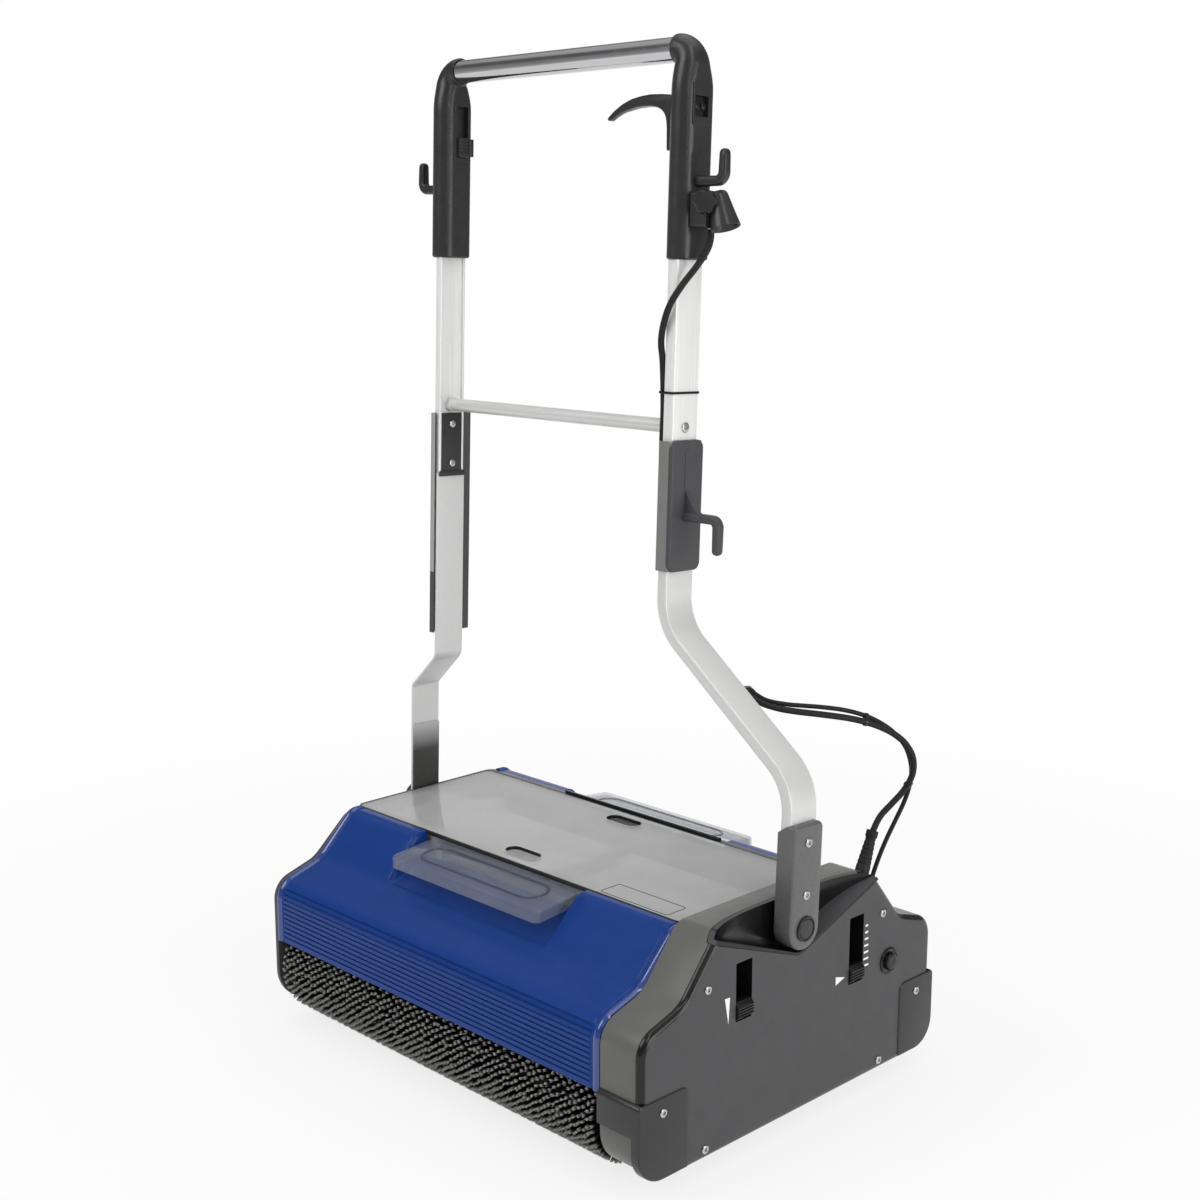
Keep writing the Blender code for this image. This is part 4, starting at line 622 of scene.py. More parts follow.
CAMERA_PLACE = (1.3950, -1.3487, 0.9097)
CAMERA_AZIMUTH = math.radians(45.58)
CAMERA_PITCH = math.radians(11.34)
CAMERA_LENS = 53.37
FLOOR_SIZE = 7.0
FLOOR_NEAR, FLOOR_FAR = 0.55, 1.6      # between these the floor fades into the white
GLOSS_SKY = ((0.0, 0.90), (1.0, 0.40), (0.42, 0.50), (0.50, 0.32), (0.61, 0.28), (0.66, 0.15), (0.77, 0.13),
             (0.84, 0.55))
BACKDROP = (-0.700, 0.686, -0.20)       # towards the white behind the object


def add_camera():
    data = bpy.data.cameras.new("camera")
    data.lens = CAMERA_LENS
    data.sensor_width = 36.0
    camera = bpy.data.objects.new("camera", data)
    camera.location = CAMERA_PLACE
    ahead = Vector((-math.sin(CAMERA_AZIMUTH) * math.cos(CAMERA_PITCH),
                    math.cos(CAMERA_AZIMUTH) * math.cos(CAMERA_PITCH), -math.sin(CAMERA_PITCH)))
    camera.rotation_euler = ahead.to_track_quat("-Z", "Y").to_euler()
    SCENE.collection.objects.link(camera)
    SCENE.camera = camera


def seen_rays(tree):
    """1 for rays from the camera, from gloss and through clear pieces, else 0."""
    path = tree.nodes.new("ShaderNodeLightPath")
    total = path.outputs["Is Camera Ray"]
    for name in ("Is Glossy Ray", "Is Transmission Ray"):
        node = tree.nodes.new("ShaderNodeMath")
        node.operation = "MAXIMUM"
        tree.links.new(total, node.inputs[0])
        tree.links.new(path.outputs[name], node.inputs[1])
        total = node.outputs[0]
    return total


def add_floor():
    """A pale floor that keeps the object's shadow and fades into the white background."""
    shape = bmesh.new()
    bmesh.ops.create_grid(shape, x_segments=1, y_segments=1, size=FLOOR_SIZE / 2,
                          matrix=Matrix.Translation((0, 0, -0.0004)))
    mesh = bpy.data.meshes.new("floor")
    shape.to_mesh(mesh)
    shape.free()
    material, tree, shader = new_look("floor")
    shader.inputs["Base Color"].default_value = srgb(242, 242, 241)
    shader.inputs["Roughness"].default_value = 0.7
    glow = tree.nodes.new("ShaderNodeEmission")
    glow.inputs["Strength"].default_value = 1.0
    place = tree.nodes.new("ShaderNodeTexCoord")
    length = tree.nodes.new("ShaderNodeVectorMath")
    length.operation = "LENGTH"
    tree.links.new(place.outputs["Object"], length.inputs[0])
    share = tree.nodes.new("ShaderNodeMath")
    share.operation = "MULTIPLY"
    tree.links.new(seen_rays(tree), share.inputs[0])
    tree.links.new(spread(tree, length.outputs["Value"], 0.80, 1.0, FLOOR_NEAR, FLOOR_FAR), share.inputs[1])
    mix = tree.nodes.new("ShaderNodeMixShader")
    tree.links.new(share.outputs[0], mix.inputs["Fac"])
    tree.links.new(shader.outputs["BSDF"], mix.inputs[1])
    tree.links.new(glow.outputs["Emission"], mix.inputs[2])
    tree.links.new(mix.outputs["Shader"], tree.nodes["Material Output"].inputs["Surface"])
    mesh.materials.append(material)
    floor = bpy.data.objects.new("floor", mesh)
    SCENE.collection.objects.link(floor)


def add_world(ambient=0.55):
    """White where it is seen; a soft even light on the object; gloss sees a banded, paler sky."""
    world = bpy.data.worlds.new("studio")
    world.use_nodes = True
    tree = world.node_tree
    background = tree.nodes["Background"]
    background.inputs["Color"].default_value = (1, 1, 1, 1)
    path = tree.nodes.new("ShaderNodeLightPath")
    place = tree.nodes.new("ShaderNodeTexCoord")
    parts = tree.nodes.new("ShaderNodeSeparateXYZ")
    tree.links.new(place.outputs["Generated"], parts.inputs[0])
    steps = tree.nodes.new("ShaderNodeValToRGB")
    ramp = steps.color_ramp
    for index, (share, level) in enumerate(GLOSS_SKY):
        element = ramp.elements[index] if index < 2 else ramp.elements.new(share)
        element.position = share
        element.color = (level, level, level, 1)
    tree.links.new(spread(tree, parts.outputs["Z"], 0, 1, -1, 1), steps.inputs["Fac"])
    behind = tree.nodes.new("ShaderNodeVectorMath")
    behind.operation = "DOT_PRODUCT"
    behind.inputs[1].default_value = BACKDROP
    tree.links.new(place.outputs["Generated"], behind.inputs[0])
    gloss = tree.nodes.new("ShaderNodeMix")
    gloss.inputs["B"].default_value = 1.0
    tree.links.new(spread(tree, behind.outputs["Value"], 0, 1, 0.74, 0.89), gloss.inputs["Factor"])
    tree.links.new(steps.outputs["Color"], gloss.inputs["A"])
    levels = {"Is Glossy Ray": gloss.outputs["Result"], "Is Transmission Ray": 1.0, "Is Camera Ray": 1.0}
    total = ambient
    for name, level in levels.items():
        mix = tree.nodes.new("ShaderNodeMix")
        tree.links.new(path.outputs[name], mix.inputs["Factor"])
        for socket, value in (("A", total), ("B", level)):
            if isinstance(value, float):
                mix.inputs[socket].default_value = value
            else:
                tree.links.new(value, mix.inputs[socket])
        total = mix.outputs["Result"]
    tree.links.new(total, background.inputs["Strength"])
    SCENE.world = world


def add_lamp(name, place, target, power, size, length=None):
    """A soft lamp; with a length it is an upright strip."""
    data = bpy.data.lights.new(name, "AREA")
    data.energy = power
    data.size = size
    if length:
        data.shape = "RECTANGLE"
        data.size_y = length
    lamp = bpy.data.objects.new(name, data)
    lamp.location = place
    lamp.rotation_euler = (Vector(target) - Vector(place)).to_track_quat("-Z", "Y").to_euler()
    SCENE.collection.objects.link(lamp)


def add_stage():
    add_camera()
    add_floor()
    add_world()
    middle = (0, 0, 0.45)
    add_lamp("key", (-0.9, -2.2, 2.3), middle, 28, 1.6)
    add_lamp("side", (2.6, 0.3, 0.8), middle, 23, 1.4)
    add_lamp("top", (0.0, 0.3, 3.0), middle, 14, 2.0)
    add_lamp("strip", (1.3, -0.6, 2.0), middle, 7, 0.2, 2.0)
    SCENE.view_settings.view_transform = "Standard"


# Leads

def handle_route():
    """The lead clipped to the handle, upright: inlet, right upright's front, its inner side, arm's rear."""
    inside = RIGHT_LEG - UPRIGHT_T / 2 - CABLE_R - GAP
    front = -UPRIGHT_W / 2 - CABLE_R - GAP
    start_x = GRIP_OUT_RIGHT + GAP + 0.7 * INLET_T
    start_z = INLET_LOW - 3 * GAP
    crossing = -(CROSSBAR_R + 2 * CABLE_R)
    return [
        (start_x, 0.004, start_z), (start_x, 0.0035, start_z - 0.010),
        (start_x - 0.0015, 0.0005, start_z - 0.021),
        (start_x - 0.0065, -0.0085, GRIP_BOTTOM - 0.009), (start_x - 0.0155, -0.0195, GRIP_BOTTOM - 0.028),
        (RIGHT_LEG + 0.006, front - 0.0035, GRIP_BOTTOM - 0.047),
        (RIGHT_LEG - 0.004, front - 0.002, GRIP_BOTTOM - 0.066),
        (inside - 0.001, front + 0.0025, GRIP_BOTTOM - 0.087), (inside, crossing - 0.003, 0.785),
        (inside, crossing, 0.740), (inside, crossing, 0.690), (inside, -0.008, 0.630),
        (inside, 0.002, 0.580),
        (inside - 0.002, 0.016, 0.545), (inside + 0.003, LEAD_Y + 0.001, 0.515),
        (RIGHT_LEG + 0.014, LEAD_Y + 0.001, 0.496), BEFORE_TIE, (TIE_X, TIE_Y, TIE_Z)]


BEFORE_TIE = (TIE_X - 0.033, LEAD_Y, TIE_Z + 0.021)
# How far each free lead bows out from the straight line between its ends, tie to housing, at even steps
LEAD_BOW = (
    (0.0106, -0.0016, 0.0010), (0.0199, 0.0027, 0.0054), (0.0273, 0.0099, 0.0118), (0.0334, 0.0183, 0.0188),
    (0.0385, 0.0273, 0.0255), (0.0429, 0.0367, 0.0316), (0.0466, 0.0461, 0.0363), (0.0495, 0.0553, 0.0392),
    (0.0514, 0.0637, 0.0398), (0.0518, 0.0704, 0.0372), (0.0497, 0.0729, 0.0306), (0.0434, 0.0675, 0.0215),
    (0.0327, 0.0537, 0.0142), (0.0203, 0.0356, 0.0101), (0.0083, 0.0165, 0.0064))
THIN_BOW = (
    (0.0115, -0.0002, 0.0048), (0.0235, 0.0066, 0.0137), (0.0321, 0.0156, 0.0242), (0.0387, 0.0260, 0.0343),
    (0.0446, 0.0385, 0.0429), (0.0485, 0.0500, 0.0498), (0.0513, 0.0610, 0.0545), (0.0536, 0.0723, 0.0558),
    (0.0542, 0.0807, 0.0551), (0.0533, 0.0860, 0.0515), (0.0503, 0.0866, 0.0436), (0.0446, 0.0802, 0.0363),
    (0.0369, 0.0691, 0.0300), (0.0280, 0.0550, 0.0233), (0.0195, 0.0411, 0.0182), (0.0119, 0.0272, 0.0128),
    (0.0053, 0.0131, 0.0059))
THIN_HOLE = Vector((0.290, 0.1445, 0.2254))
THIN_BESIDE = Vector((0, CABLE_R + THIN_R + 7 * GAP, 0))
LOOP_TIES = (0.215, 0.57)


def tie_end():
    """Where the leads come out of the clip on the arm."""
    tie = LEAN @ Vector((TIE_X, TIE_Y, TIE_Z))
    ahead = (tie - LEAN @ Vector(BEFORE_TIE)).normalized()
    return tie + 3 * GAP * ahead


def loop_route(start, end, bow):
    """From the housing's top, back in a hanging bow, to the clip on the arm."""
    steps = len(bow) + 1
    points = [start.lerp(end, step / steps) + Vector(out) for step, out in enumerate(bow, 1)]
    return ([start] + points + [end])[::-1]


def band(first, first_r, second, second_r, along, grow=0.0009, half=0.0022):
    """A tie round two leads."""
    along = along.normalized()
    apart = second - first
    across = (apart - along * apart.dot(along)).normalized()
    other = along.cross(across)
    rings = []
    for height, extra in ((-half, 0.2), (-0.7 * half, 1), (0.7 * half, 1), (half, 0.2)):
        ring = []
        for step in range(28):
            angle = 2 * math.pi * (step + 0.5) / 28
            way = math.cos(angle) * across + math.sin(angle) * other
            centre, radius = max(((first, first_r), (second, second_r)),
                                 key=lambda item: item[0].dot(way) + item[1])
            ring.append(centre + way * (radius + extra * grow) + along * height)
        rings.append(ring)
    return loft(rings)


def add_loop_lead(name, route, radius):
    """A free lead across the handle's joint, or a tie on it."""
    lead = add(name, tube(route, radius), "black_rubber", None, name)
    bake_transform(lead)


def add_leads():
    route = smooth_route(handle_route(), 0.004)
    lead = add("handle_lead", tube(route, CABLE_R), "black_rubber", "handle", "handle_lead")
    tip = BOOT_FOOT + (BOOT_LENGTH + 3 * GAP) * BOOT_UP
    main = smooth_route(loop_route(tie_end(), tip, LEAD_BOW), 0.004)
    hole = THIN_HOLE - 0.1 * BOOT_LENGTH * BOOT_UP
    thin = smooth_route(loop_route(tie_end() + THIN_BESIDE, hole, THIN_BOW), 0.004)
    for number, share in enumerate(LOOP_TIES, 1):
        index = round(share * (len(main) - 2))
        centre = main[index]
        other = min(thin, key=lambda point: (point - centre).length)
        tie = add(f"lead_tie_{number}", band(centre, CABLE_R, other, THIN_R,
                                             main[index + 1] - main[index - 1]),
                  "gloss_plastic", None)
        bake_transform(tie)
    add_loop_lead("lead_loop", main, CABLE_R)
    add_loop_lead("thin_lead_loop", thin, THIN_R)
    add("lead_clip", lead_clip(), "gloss_plastic", "handle")
    add("cable_boot", strain_relief(), "black_rubber", "body", "cable_boot")


def lead_clip():
    """A saddle behind the right arm that both free leads come out of."""
    tie = Vector((TIE_X, TIE_Y, TIE_Z))
    strap = band(tie, CABLE_R, tie + THIN_BESIDE, THIN_R, tie - Vector(BEFORE_TIE), 0.0013, 0.0055)
    foot = block((TIE_X - 0.005, ARM_W / 2 + GAP, TIE_Z - 0.004), (TIE_X + 0.005, TIE_Y, TIE_Z + 0.006),
                 0.002, "Y", 0.0008)
    return merge(strap, foot)


def strain_relief(ribs=6, groove=0.0004, mouth=0.0030):
    """A tapered boot with faint rings and a collar whose mouth the lead leaves by."""
    seat = BOOT_LENGTH + BOOT_SEAT
    length = seat + mouth
    tip = BOOT_TIP_R + 0.0010
    profile = [(0, 0), (BOOT_R - 0.0003, 0)]
    start, collar = BOOT_SEAT + 0.006, length - 0.008
    profile += [(BOOT_R, 0.0005), (BOOT_R - 0.0002, start)]
    pitch = (collar - start) / ribs
    for rib in range(ribs):
        for share, cut in ((0.15, groove), (0.45, groove), (0.60, 0), (1.0, 0)):
            height = start + pitch * (rib + share)
            radius = BOOT_R - 0.0002 + (tip - BOOT_R) * (height - start) / (collar - start)
            profile.append((radius - cut, height))
    profile += [(tip + 0.0004, collar + 0.0004), (tip + 0.0008, collar + 0.001),
                (tip + 0.0008, length - 0.0008),
                (tip, length), (CABLE_R + GAP, length), (CABLE_R + GAP, seat), (0, seat)]
    return revolve(profile, BOOT_FOOT - BOOT_SEAT * BOOT_UP, BOOT_UP, 28)


# Covers, lid and tanks

COVER_SKIN = 0.0035
COVER_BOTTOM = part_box("front_cover")[0].z
RIBS, RIB_PITCH, RIB_START, GROOVE_DEPTH = 11, 0.0058, 0.0022, 0.0015
BORDER, BEAD, BEAD_H, LINE_D = 0.014, 0.0095, 0.0020, 0.0009
HOLD_HALF = 0.124
FIELD_HALF, FIELD_REACH = 0.098, 0.019
HOLD_NEAR, HOLD_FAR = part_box("rear_tank_grip")[0].y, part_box("rear_tank_grip")[1].y
HOLD_TOP, HOLD_DROP, HOLD_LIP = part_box("rear_tank_grip")[1].z, 0.007, 0.013
RECESS_WALL, RECESS_DEEP, RECESS_FAR = 0.010, 0.028, 0.174
LID_R, LID_EDGE = 0.012, 0.0008
HOLE_HALF, HOLE_R, HOLE_Y = 0.025, 0.010, 0.080
EDGING, EDGING_REAR, EDGING_H = 0.0024, 0.0085, 0.0004
FIELD = (0.124, 0.222, -0.104, -0.074)
TANK_SPLIT = 0.040
TANK_WALL = 0.003
LEDGE_END, LEDGE_REAR, LEDGE_DROP = 0.010, 0.022, 0.010
RIDGE_FRONT, RIDGE_DROP = -0.010, 0.003
CAP_X, CAP_Y, CAP_R = -0.207, 0.032, 0.020
LIP_W, LIP_H = 0.0045, 0.0028


def smoothstep(low, high, value):
    share = min(1.0, max(0.0, (value - low) / (high - low)))
    return share * share * (3 - 2 * share)


def cover_rows():
    """Points up the cover's outer line, as (place, outward, groove), ribs first and then plain."""
    path = [Vector(point) for point in rounded([
        (HALF_DEPTH, COVER_BOTTOM, 0), (HALF_DEPTH, SHOULDER_Z, SHOULDER_R), (WAIST_Y, WAIST_Z, WAIST_R),
        (BROW_Y, LID_TOP, BROW_R), (LID_HALF + GAP, LID_TOP, 0)], 24, closed=False)]
    marks = [(0, 0), (0.0012, 0)]
    for rib in range(RIBS):
        for share, groove in ((0, 0), (0.3, 0), (0.6, 0), (0.68, 1), (0.92, 1)):
            marks.append((RIB_START + RIB_PITCH * (rib + share), groove))
    top = RIB_START + RIB_PITCH * RIBS
    length = route_length(path)
    plain = 44
    marks += [(top + (length - top) * step / plain, 0) for step in range(plain + 1)]
    rows = []
    for distance, groove in marks:
        travelled = 0.0
        for a, b in zip(path, path[1:]):
            step = (b - a).length
            if travelled + step >= distance - 0.000001:
                break
            travelled += step
        along = (b - a).normalized()
        rows.append((a + along * (distance - travelled), Vector((along.y, -along.x)), groove))
    return rows


def cover_stations():
    """Places along the cover, close together where its surface turns."""
    edge = (0, 0.0005, 0.0012, 0.0024, 0.004, 0.0055, 0.007, 0.0083, 0.0092, 0.0098, 0.0104, 0.0112, 0.0120,
            BORDER - 0.0008, BORDER)
    stations = [LEFT_END + step for step in edge] + [RIGHT_END - step for step in edge]
    for side in (-1, 1):
        stations += [LID_MIDDLE + side * (HOLD_HALF + 0.002 + RECESS_WALL * step / 10) for step in range(11)]
    stations += [LEFT_END + BORDER + (RIGHT_END - LEFT_END - 2 * BORDER) * step / 24 for step in range(1,
                                                                                                       24)]
    return sorted(stations)


def cover_height(x, groove):
    """How far the cover's surface stands out: end beads, the line beside them and the ribs' grooves."""
    end = min(x - LEFT_END, RIGHT_END - x)
    if end < BEAD:
        return BEAD_H * math.sin(math.pi * end / BEAD)
    if end < BORDER - 0.001:
        return -LINE_D * math.sin(math.pi * (end - BEAD) / (BORDER - 0.001 - BEAD))
    return -GROOVE_DEPTH * groove * smoothstep(BORDER - 0.0008, BORDER, end)


def recess(x, y, z):
    """The height of the cover under the tank grip, where it is dished."""
    inside = 1 - smoothstep(HOLD_HALF + 0.002, HOLD_HALF + 0.002 + RECESS_WALL, abs(x - LID_MIDDLE))
    floor = (LID_TOP - RECESS_DEEP
             - (y - LID_HALF) * (LID_TOP - RECESS_DEEP - WAIST_Z) / (RECESS_FAR - LID_HALF))
    over = z - floor
    return z - inside * over * smoothstep(0, 0.005, over)


def blue_cover(side):
    """A ribbed cover from the brush up to the lid, dished under the tank grip."""
    shape = bmesh.new()
    grid = []
    for place, outward, groove in cover_rows():
        line = []
        for x in cover_stations():
            y, z = place + outward * cover_height(x, groove)
            line.append(shape.verts.new((x, side * y, recess(x, y, z))))
        grid.append(line)
    for low, high in zip(grid, grid[1:]):
        for index in range(len(low) - 1):
            corners = (low[index], low[index + 1], high[index + 1], high[index])
            shape.faces.new(corners if side < 0 else corners[::-1])
    return shell(shape, COVER_SKIN)


def add_blue_cover(side, place):
    """A cover whose end beads are glossier than the rest."""
    cover = add(f"{place}_cover", blue_cover(side), "blue_plastic", "body", f"{place}_cover")
    cover.data.materials.append(LOOKS["blue_gloss"])
    for face in cover.data.polygons:
        end = min(face.center.x - LEFT_END, RIGHT_END - face.center.x)
        face.material_index = int(end < BEAD)


def tank_hold(side):
    """A clear hand grip: a shallow tray upside down, with a framed field and a leg on the tank."""
    outline = oblong(LID_MIDDLE - HOLD_HALF, LID_MIDDLE + HOLD_HALF, HOLD_NEAR, HOLD_FAR, 0.009)
    rings = []
    for distance, height in ((0.006, -0.0025), (0.0035, -0.0028), (0.0026, -0.0042), (0.0024, -HOLD_LIP),
                             (0.0004, -HOLD_LIP), (0, -HOLD_LIP + 0.0005), (0, -0.003), (0.0006, -0.0010),
                             (0.0022, 0)):
        ring = inset(outline, distance) if distance else outline
        rings.append([(x, side * y, hold_level(y) + height) for x, y in ring])
    near, far = sorted((side * HOLD_NEAR, side * (HOLD_NEAR + 0.003)))
    leg = block((LID_MIDDLE - HOLD_HALF + 0.012, near, HOLD_TOP - 0.034),
                (LID_MIDDLE + HOLD_HALF - 0.012, far, HOLD_TOP - 0.004), 0.0012, "Z", 0.0005)
    return merge(loft(rings), leg)


def hold_level(y):
    """The grip's top, which slopes down outwards."""
    return HOLD_TOP - HOLD_DROP * (y - HOLD_NEAR) / (HOLD_FAR - HOLD_NEAR)


def hold_field(side):
    """A raised racetrack ring on the grip's top."""
    middle = (HOLD_NEAR + HOLD_FAR) / 2
    rings = []
    for grow, height in ((0.0006, -0.0003), (0.0004, 0.0006), (0, 0.0010), (-0.0022, 0.0010),
                         (-0.0026, 0.0006),
                         (-0.0028, -0.0003)):
        half, reach = FIELD_HALF + grow, FIELD_REACH + grow
        outline = oblong(LID_MIDDLE - half, LID_MIDDLE + half, middle - reach, middle + reach,
                         reach - 0.0001, 14)
        rings.append([Vector((x, side * y, hold_level(y) + height)) for x, y in outline])
    return closed_loft(rings)


def lid_sheet():
    sheet = slab(oblong(LID_LEFT, LID_RIGHT, -LID_HALF, LID_HALF, LID_R), "Z", LID_UNDER, LID_TOP, LID_EDGE,
                 LID_EDGE)
    holes = []
    for side in (-1, 1):
        hole = oblong(LID_MIDDLE - HOLE_HALF, LID_MIDDLE + HOLE_HALF, side * HOLE_Y - HOLE_R,
                      side * HOLE_Y + HOLE_R,
                      HOLE_R - 0.0001, 12)
        holes.append(slab(hole, "Z", LID_UNDER - 0.01, LID_TOP + 0.01))
    return boolean(sheet, holes)


def lid_edging():
    """A dark edge strip round the lid's top, wider at the rear."""
    outside = oblong(LID_LEFT, LID_RIGHT, -LID_HALF, LID_HALF, LID_R)
    inside = oblong(LID_LEFT + EDGING, LID_RIGHT - EDGING, EDGING - LID_HALF, LID_HALF - EDGING_REAR,
                    LID_R - EDGING)
    return boolean(slab(outside, "Z", LID_TOP - 0.0003, LID_TOP + EDGING_H, 0.0001, 0.0002),
                   [slab(inside, "Z", LID_TOP - 0.01, LID_TOP + 0.01)])


def lid_field():
    """A fine raised line round a plain field near the drive end."""
    left, right, front, rear = FIELD
    line = 0.0007
    return boolean(slab(oblong(left, right, front, rear, 0.004), "Z", LID_TOP - 0.0002, LID_TOP + 0.0003),
                   [slab(oblong(left + line, right - line, front + line, rear - line, 0.0034), "Z",
                         LID_TOP - 0.01, LID_TOP + 0.01)])


def add_lid():
    """The smoked lid, darker at its edges and round its finger holes."""
    lid = add("lid", lid_sheet(), "clear_plastic", "lid", "lid")
    lid.data.materials.append(LOOKS["clear_edge"])
    for face in lid.data.polygons:
        face.material_index = int(abs(face.normal.z) < 0.9)
    add("lid_edging", lid_edging(), "clear_edge", "lid")
    add("lid_field", lid_field(), "clear_edge", "lid")
    reach = HOLD_HALF + 0.004
    lip = block((LID_MIDDLE - reach, LID_HALF - LIP_W, LID_TOP - 0.0002),
                (LID_MIDDLE + reach, LID_HALF, LID_TOP + LIP_H),
                0.0012, "X", 0.0006)
    add("lid_rear_lip", lip, "gloss_plastic", "lid")


def tank(left, right):
    """An open tank with a rim."""
    outer = block((left, -TANK_HALF, TANK_FLOOR), (right, TANK_HALF, TANK_TOP), 0.010, "Z", 0.001)
    inner = block((left + TANK_WALL, TANK_WALL - TANK_HALF, TANK_FLOOR + TANK_WALL),
                  (right - TANK_WALL, TANK_HALF - TANK_WALL, TANK_TOP + 0.02), 0.008, "Z", 0.002)
    return boolean(outer, [inner])


def tank_ledge(left, right):
    """A pale ledge over a tank's front half with a ridge along its rear, close under the lid."""
    low, high = left + LEDGE_END, right - LEDGE_END
    front = LEDGE_END - TANK_HALF
    ledge = block((low, front, TANK_FLOOR + 0.002), (high, LEDGE_REAR, TANK_TOP - LEDGE_DROP), 0.008, "Z",
                  0.004)
    ridge = block((low, RIDGE_FRONT, TANK_TOP - LEDGE_DROP - 0.006),
                  (high, LEDGE_REAR, TANK_TOP - RIDGE_DROP),
                  0.008, "Z", 0.003)
    return merge(ledge, ridge)


def add_tanks():
    for name, left, right in (("recovery_tank", LEFT_END, TANK_SPLIT - GAP / 2),
                              ("clean_water_tank", TANK_SPLIT + GAP / 2, RIGHT_END)):
        add(name, tank(left, right), "tank_plastic", "body", name)
        ledges = [tank_ledge(left, right)]
        if left == LEFT_END:
            cap = [(0, 0), (CAP_R, 0), (CAP_R, 0.020), (CAP_R - 0.002, 0.023), (0, 0.023)]
            ledges.append(revolve(cap, (CAP_X, CAP_Y, TANK_TOP - RIDGE_DROP - 0.0232), (0, 0, 1), 40))
        add(f"{name}_ledge", merge(*ledges), "tank_ledge", "body")


# Side plate, drive housing and controls

def pocket(grow=0.0):
    """The hollow over the right pivot: a shallow V from the side, a crescent from above."""
    half = POCKET_HALF + 3 * grow
    above = HOUSING_TOP + 0.04
    vee = rounded([(-half, above, 0), (-half, POCKET_TOP - grow, 0),
                   (0, POCKET_FLOOR - grow, POCKET_FLOOR_R),
                   (half, POCKET_TOP - grow, 0), (half, above, 0)], 14)
    crescent = [(COVER_OUT + 0.01, half), (COVER_OUT + 0.01, -half)]
    for step in range(49):
        share = step / 24 - 1
        crescent.append((COVER_OUT - (POCKET_DEPTH + grow) * (1 - share ** 4) - grow, half * share))
    return boolean(slab(vee, "X", FRAME_IN - 0.01, COVER_OUT + 0.02),
                   [slab(crescent, "Z", POCKET_FLOOR - 0.03, above + 0.01)], "INTERSECT")


def side_plate():
    outline = rounded(mirrored([
        (HALF_DEPTH, SIDE_BOTTOM, FOOT_R), (HALF_DEPTH, SHOULDER_Z, SHOULDER_R),
        (WAIST_Y, WAIST_Z, WAIST_R), (BROW_Y, TANK_TOP, BROW_R)]), 14)
    holes = [rod((PLATE_OUT - 0.01, 0, PIVOT_Z), (PLATE_IN + 0.01, 0, PIVOT_Z), PIN_R + GAP)]
    for side in (-1, 1):
        for y, z, radius in ((BRUSH_Y, BRUSH_Z, BEARING_R), (PICKUP_Y, PICKUP_Z, STUB_R)):
            holes.append(rod((PLATE_OUT - 0.01, side * y, z), (PLATE_IN + 0.01, side * y, z), radius + GAP))
    return boolean(slab(outline, "X", PLATE_OUT, PLATE_IN, 0.0012, 0.0006), holes)


PIN_R, PIN_CAP_R, PIN_CAP_T, PIN_SEAT = 0.009, 0.0135, 0.0025, 0.020
BEARING_R, STUB_R = 0.014, 0.005
PICKUP_Y = (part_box("rear_pickup_roller")[0].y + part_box("rear_pickup_roller")[1].y) / 2
PICKUP_Z = (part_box("rear_pickup_roller")[0].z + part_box("rear_pickup_roller")[1].z) / 2
DRIVE_Y, DRIVE_Z, SHAFT_R, DRIVE_R = 0.022, 0.080, 0.008, 0.006


def drive_housing():
    shape = slab(hat(), "X", FRAME_IN, FRAME_OUT, 0.0012, 0.0006)
    cavity = rounded(mirrored([
        (HALF_DEPTH - CAVITY_WALL, SIDE_BOTTOM + CAVITY_WALL, FOOT_R - CAVITY_WALL),
        (HALF_DEPTH - CAVITY_WALL, SHOULDER_Z - CAVITY_DROP, SHOULDER_R - CAVITY_WALL),
        (WAIST_Y, WAIST_Z - CAVITY_DROP, CAVITY_WALL)]), 8)
    low, high = FRAME_IN - 0.01, FRAME_IN + WEB + 0.01
    tools = [slab(cavity, "X", FRAME_IN + WEB, FRAME_OUT + 0.01), pocket(GAP),
             rod((COVER_OUT - POCKET_DEPTH - PIN_SEAT - GAP, 0, PIVOT_Z), (COVER_OUT, 0, PIVOT_Z),
                 PIN_R + GAP)]
    for side in (-1, 1):
        for y, z, radius in ((BRUSH_Y, BRUSH_Z, SHAFT_R), (PICKUP_Y, PICKUP_Z, STUB_R),
                             (DRIVE_Y, DRIVE_Z, DRIVE_R)):
            tools.append(rod((low, side * y, z), (high, side * y, z), radius + GAP))
    for foot, radius in ((BOOT_FOOT, BOOT_R), (THIN_HOLE, THIN_R)):
        tools.append(rod(foot - (BOOT_SEAT + GAP) * BOOT_UP, foot + BOOT_LENGTH * BOOT_UP, radius + GAP,
                         sides=28))
    for slot in (MOP_SLOT, LIFT_SLOT):
        tools.append(slot_box(slot, SLOT_WALL + GAP, COVER_IN - SLOT_DEEP - GAP, COVER_IN + 0.01))
    return boolean(shape, tools)


def slot_box(slot, grow, low, high):
    middle, bottom, top = slot
    return slab(oblong(middle - SLOT_HALF - grow, middle + SLOT_HALF + grow, bottom - grow, top + grow,
                       0.0012 + grow),
                "X", low, high)


def slot_liner(slot):
    """A black box behind a lever's slot."""
    box = slot_box(slot, SLOT_WALL, COVER_IN - SLOT_DEEP, COVER_IN - GAP)
    return boolean(box, [slot_box(slot, 0, COVER_IN - SLOT_DEEP + 0.0015, COVER_IN + 0.01)])


MOP_SLOT = (-0.0865, 0.151, 0.213)
LIFT_SLOT = (0.095, 0.135, 0.210)
SLOT_HALF, SLOT_DEEP, SLOT_WALL = 0.012, 0.014, 0.0015
BUTTON_Y, BUTTON_Z, BUTTON_R, BUTTON_PROUD = 0.153, 0.143, 0.009, 0.006
LEVER_H, LEVER_PROUD = 0.020, 0.004


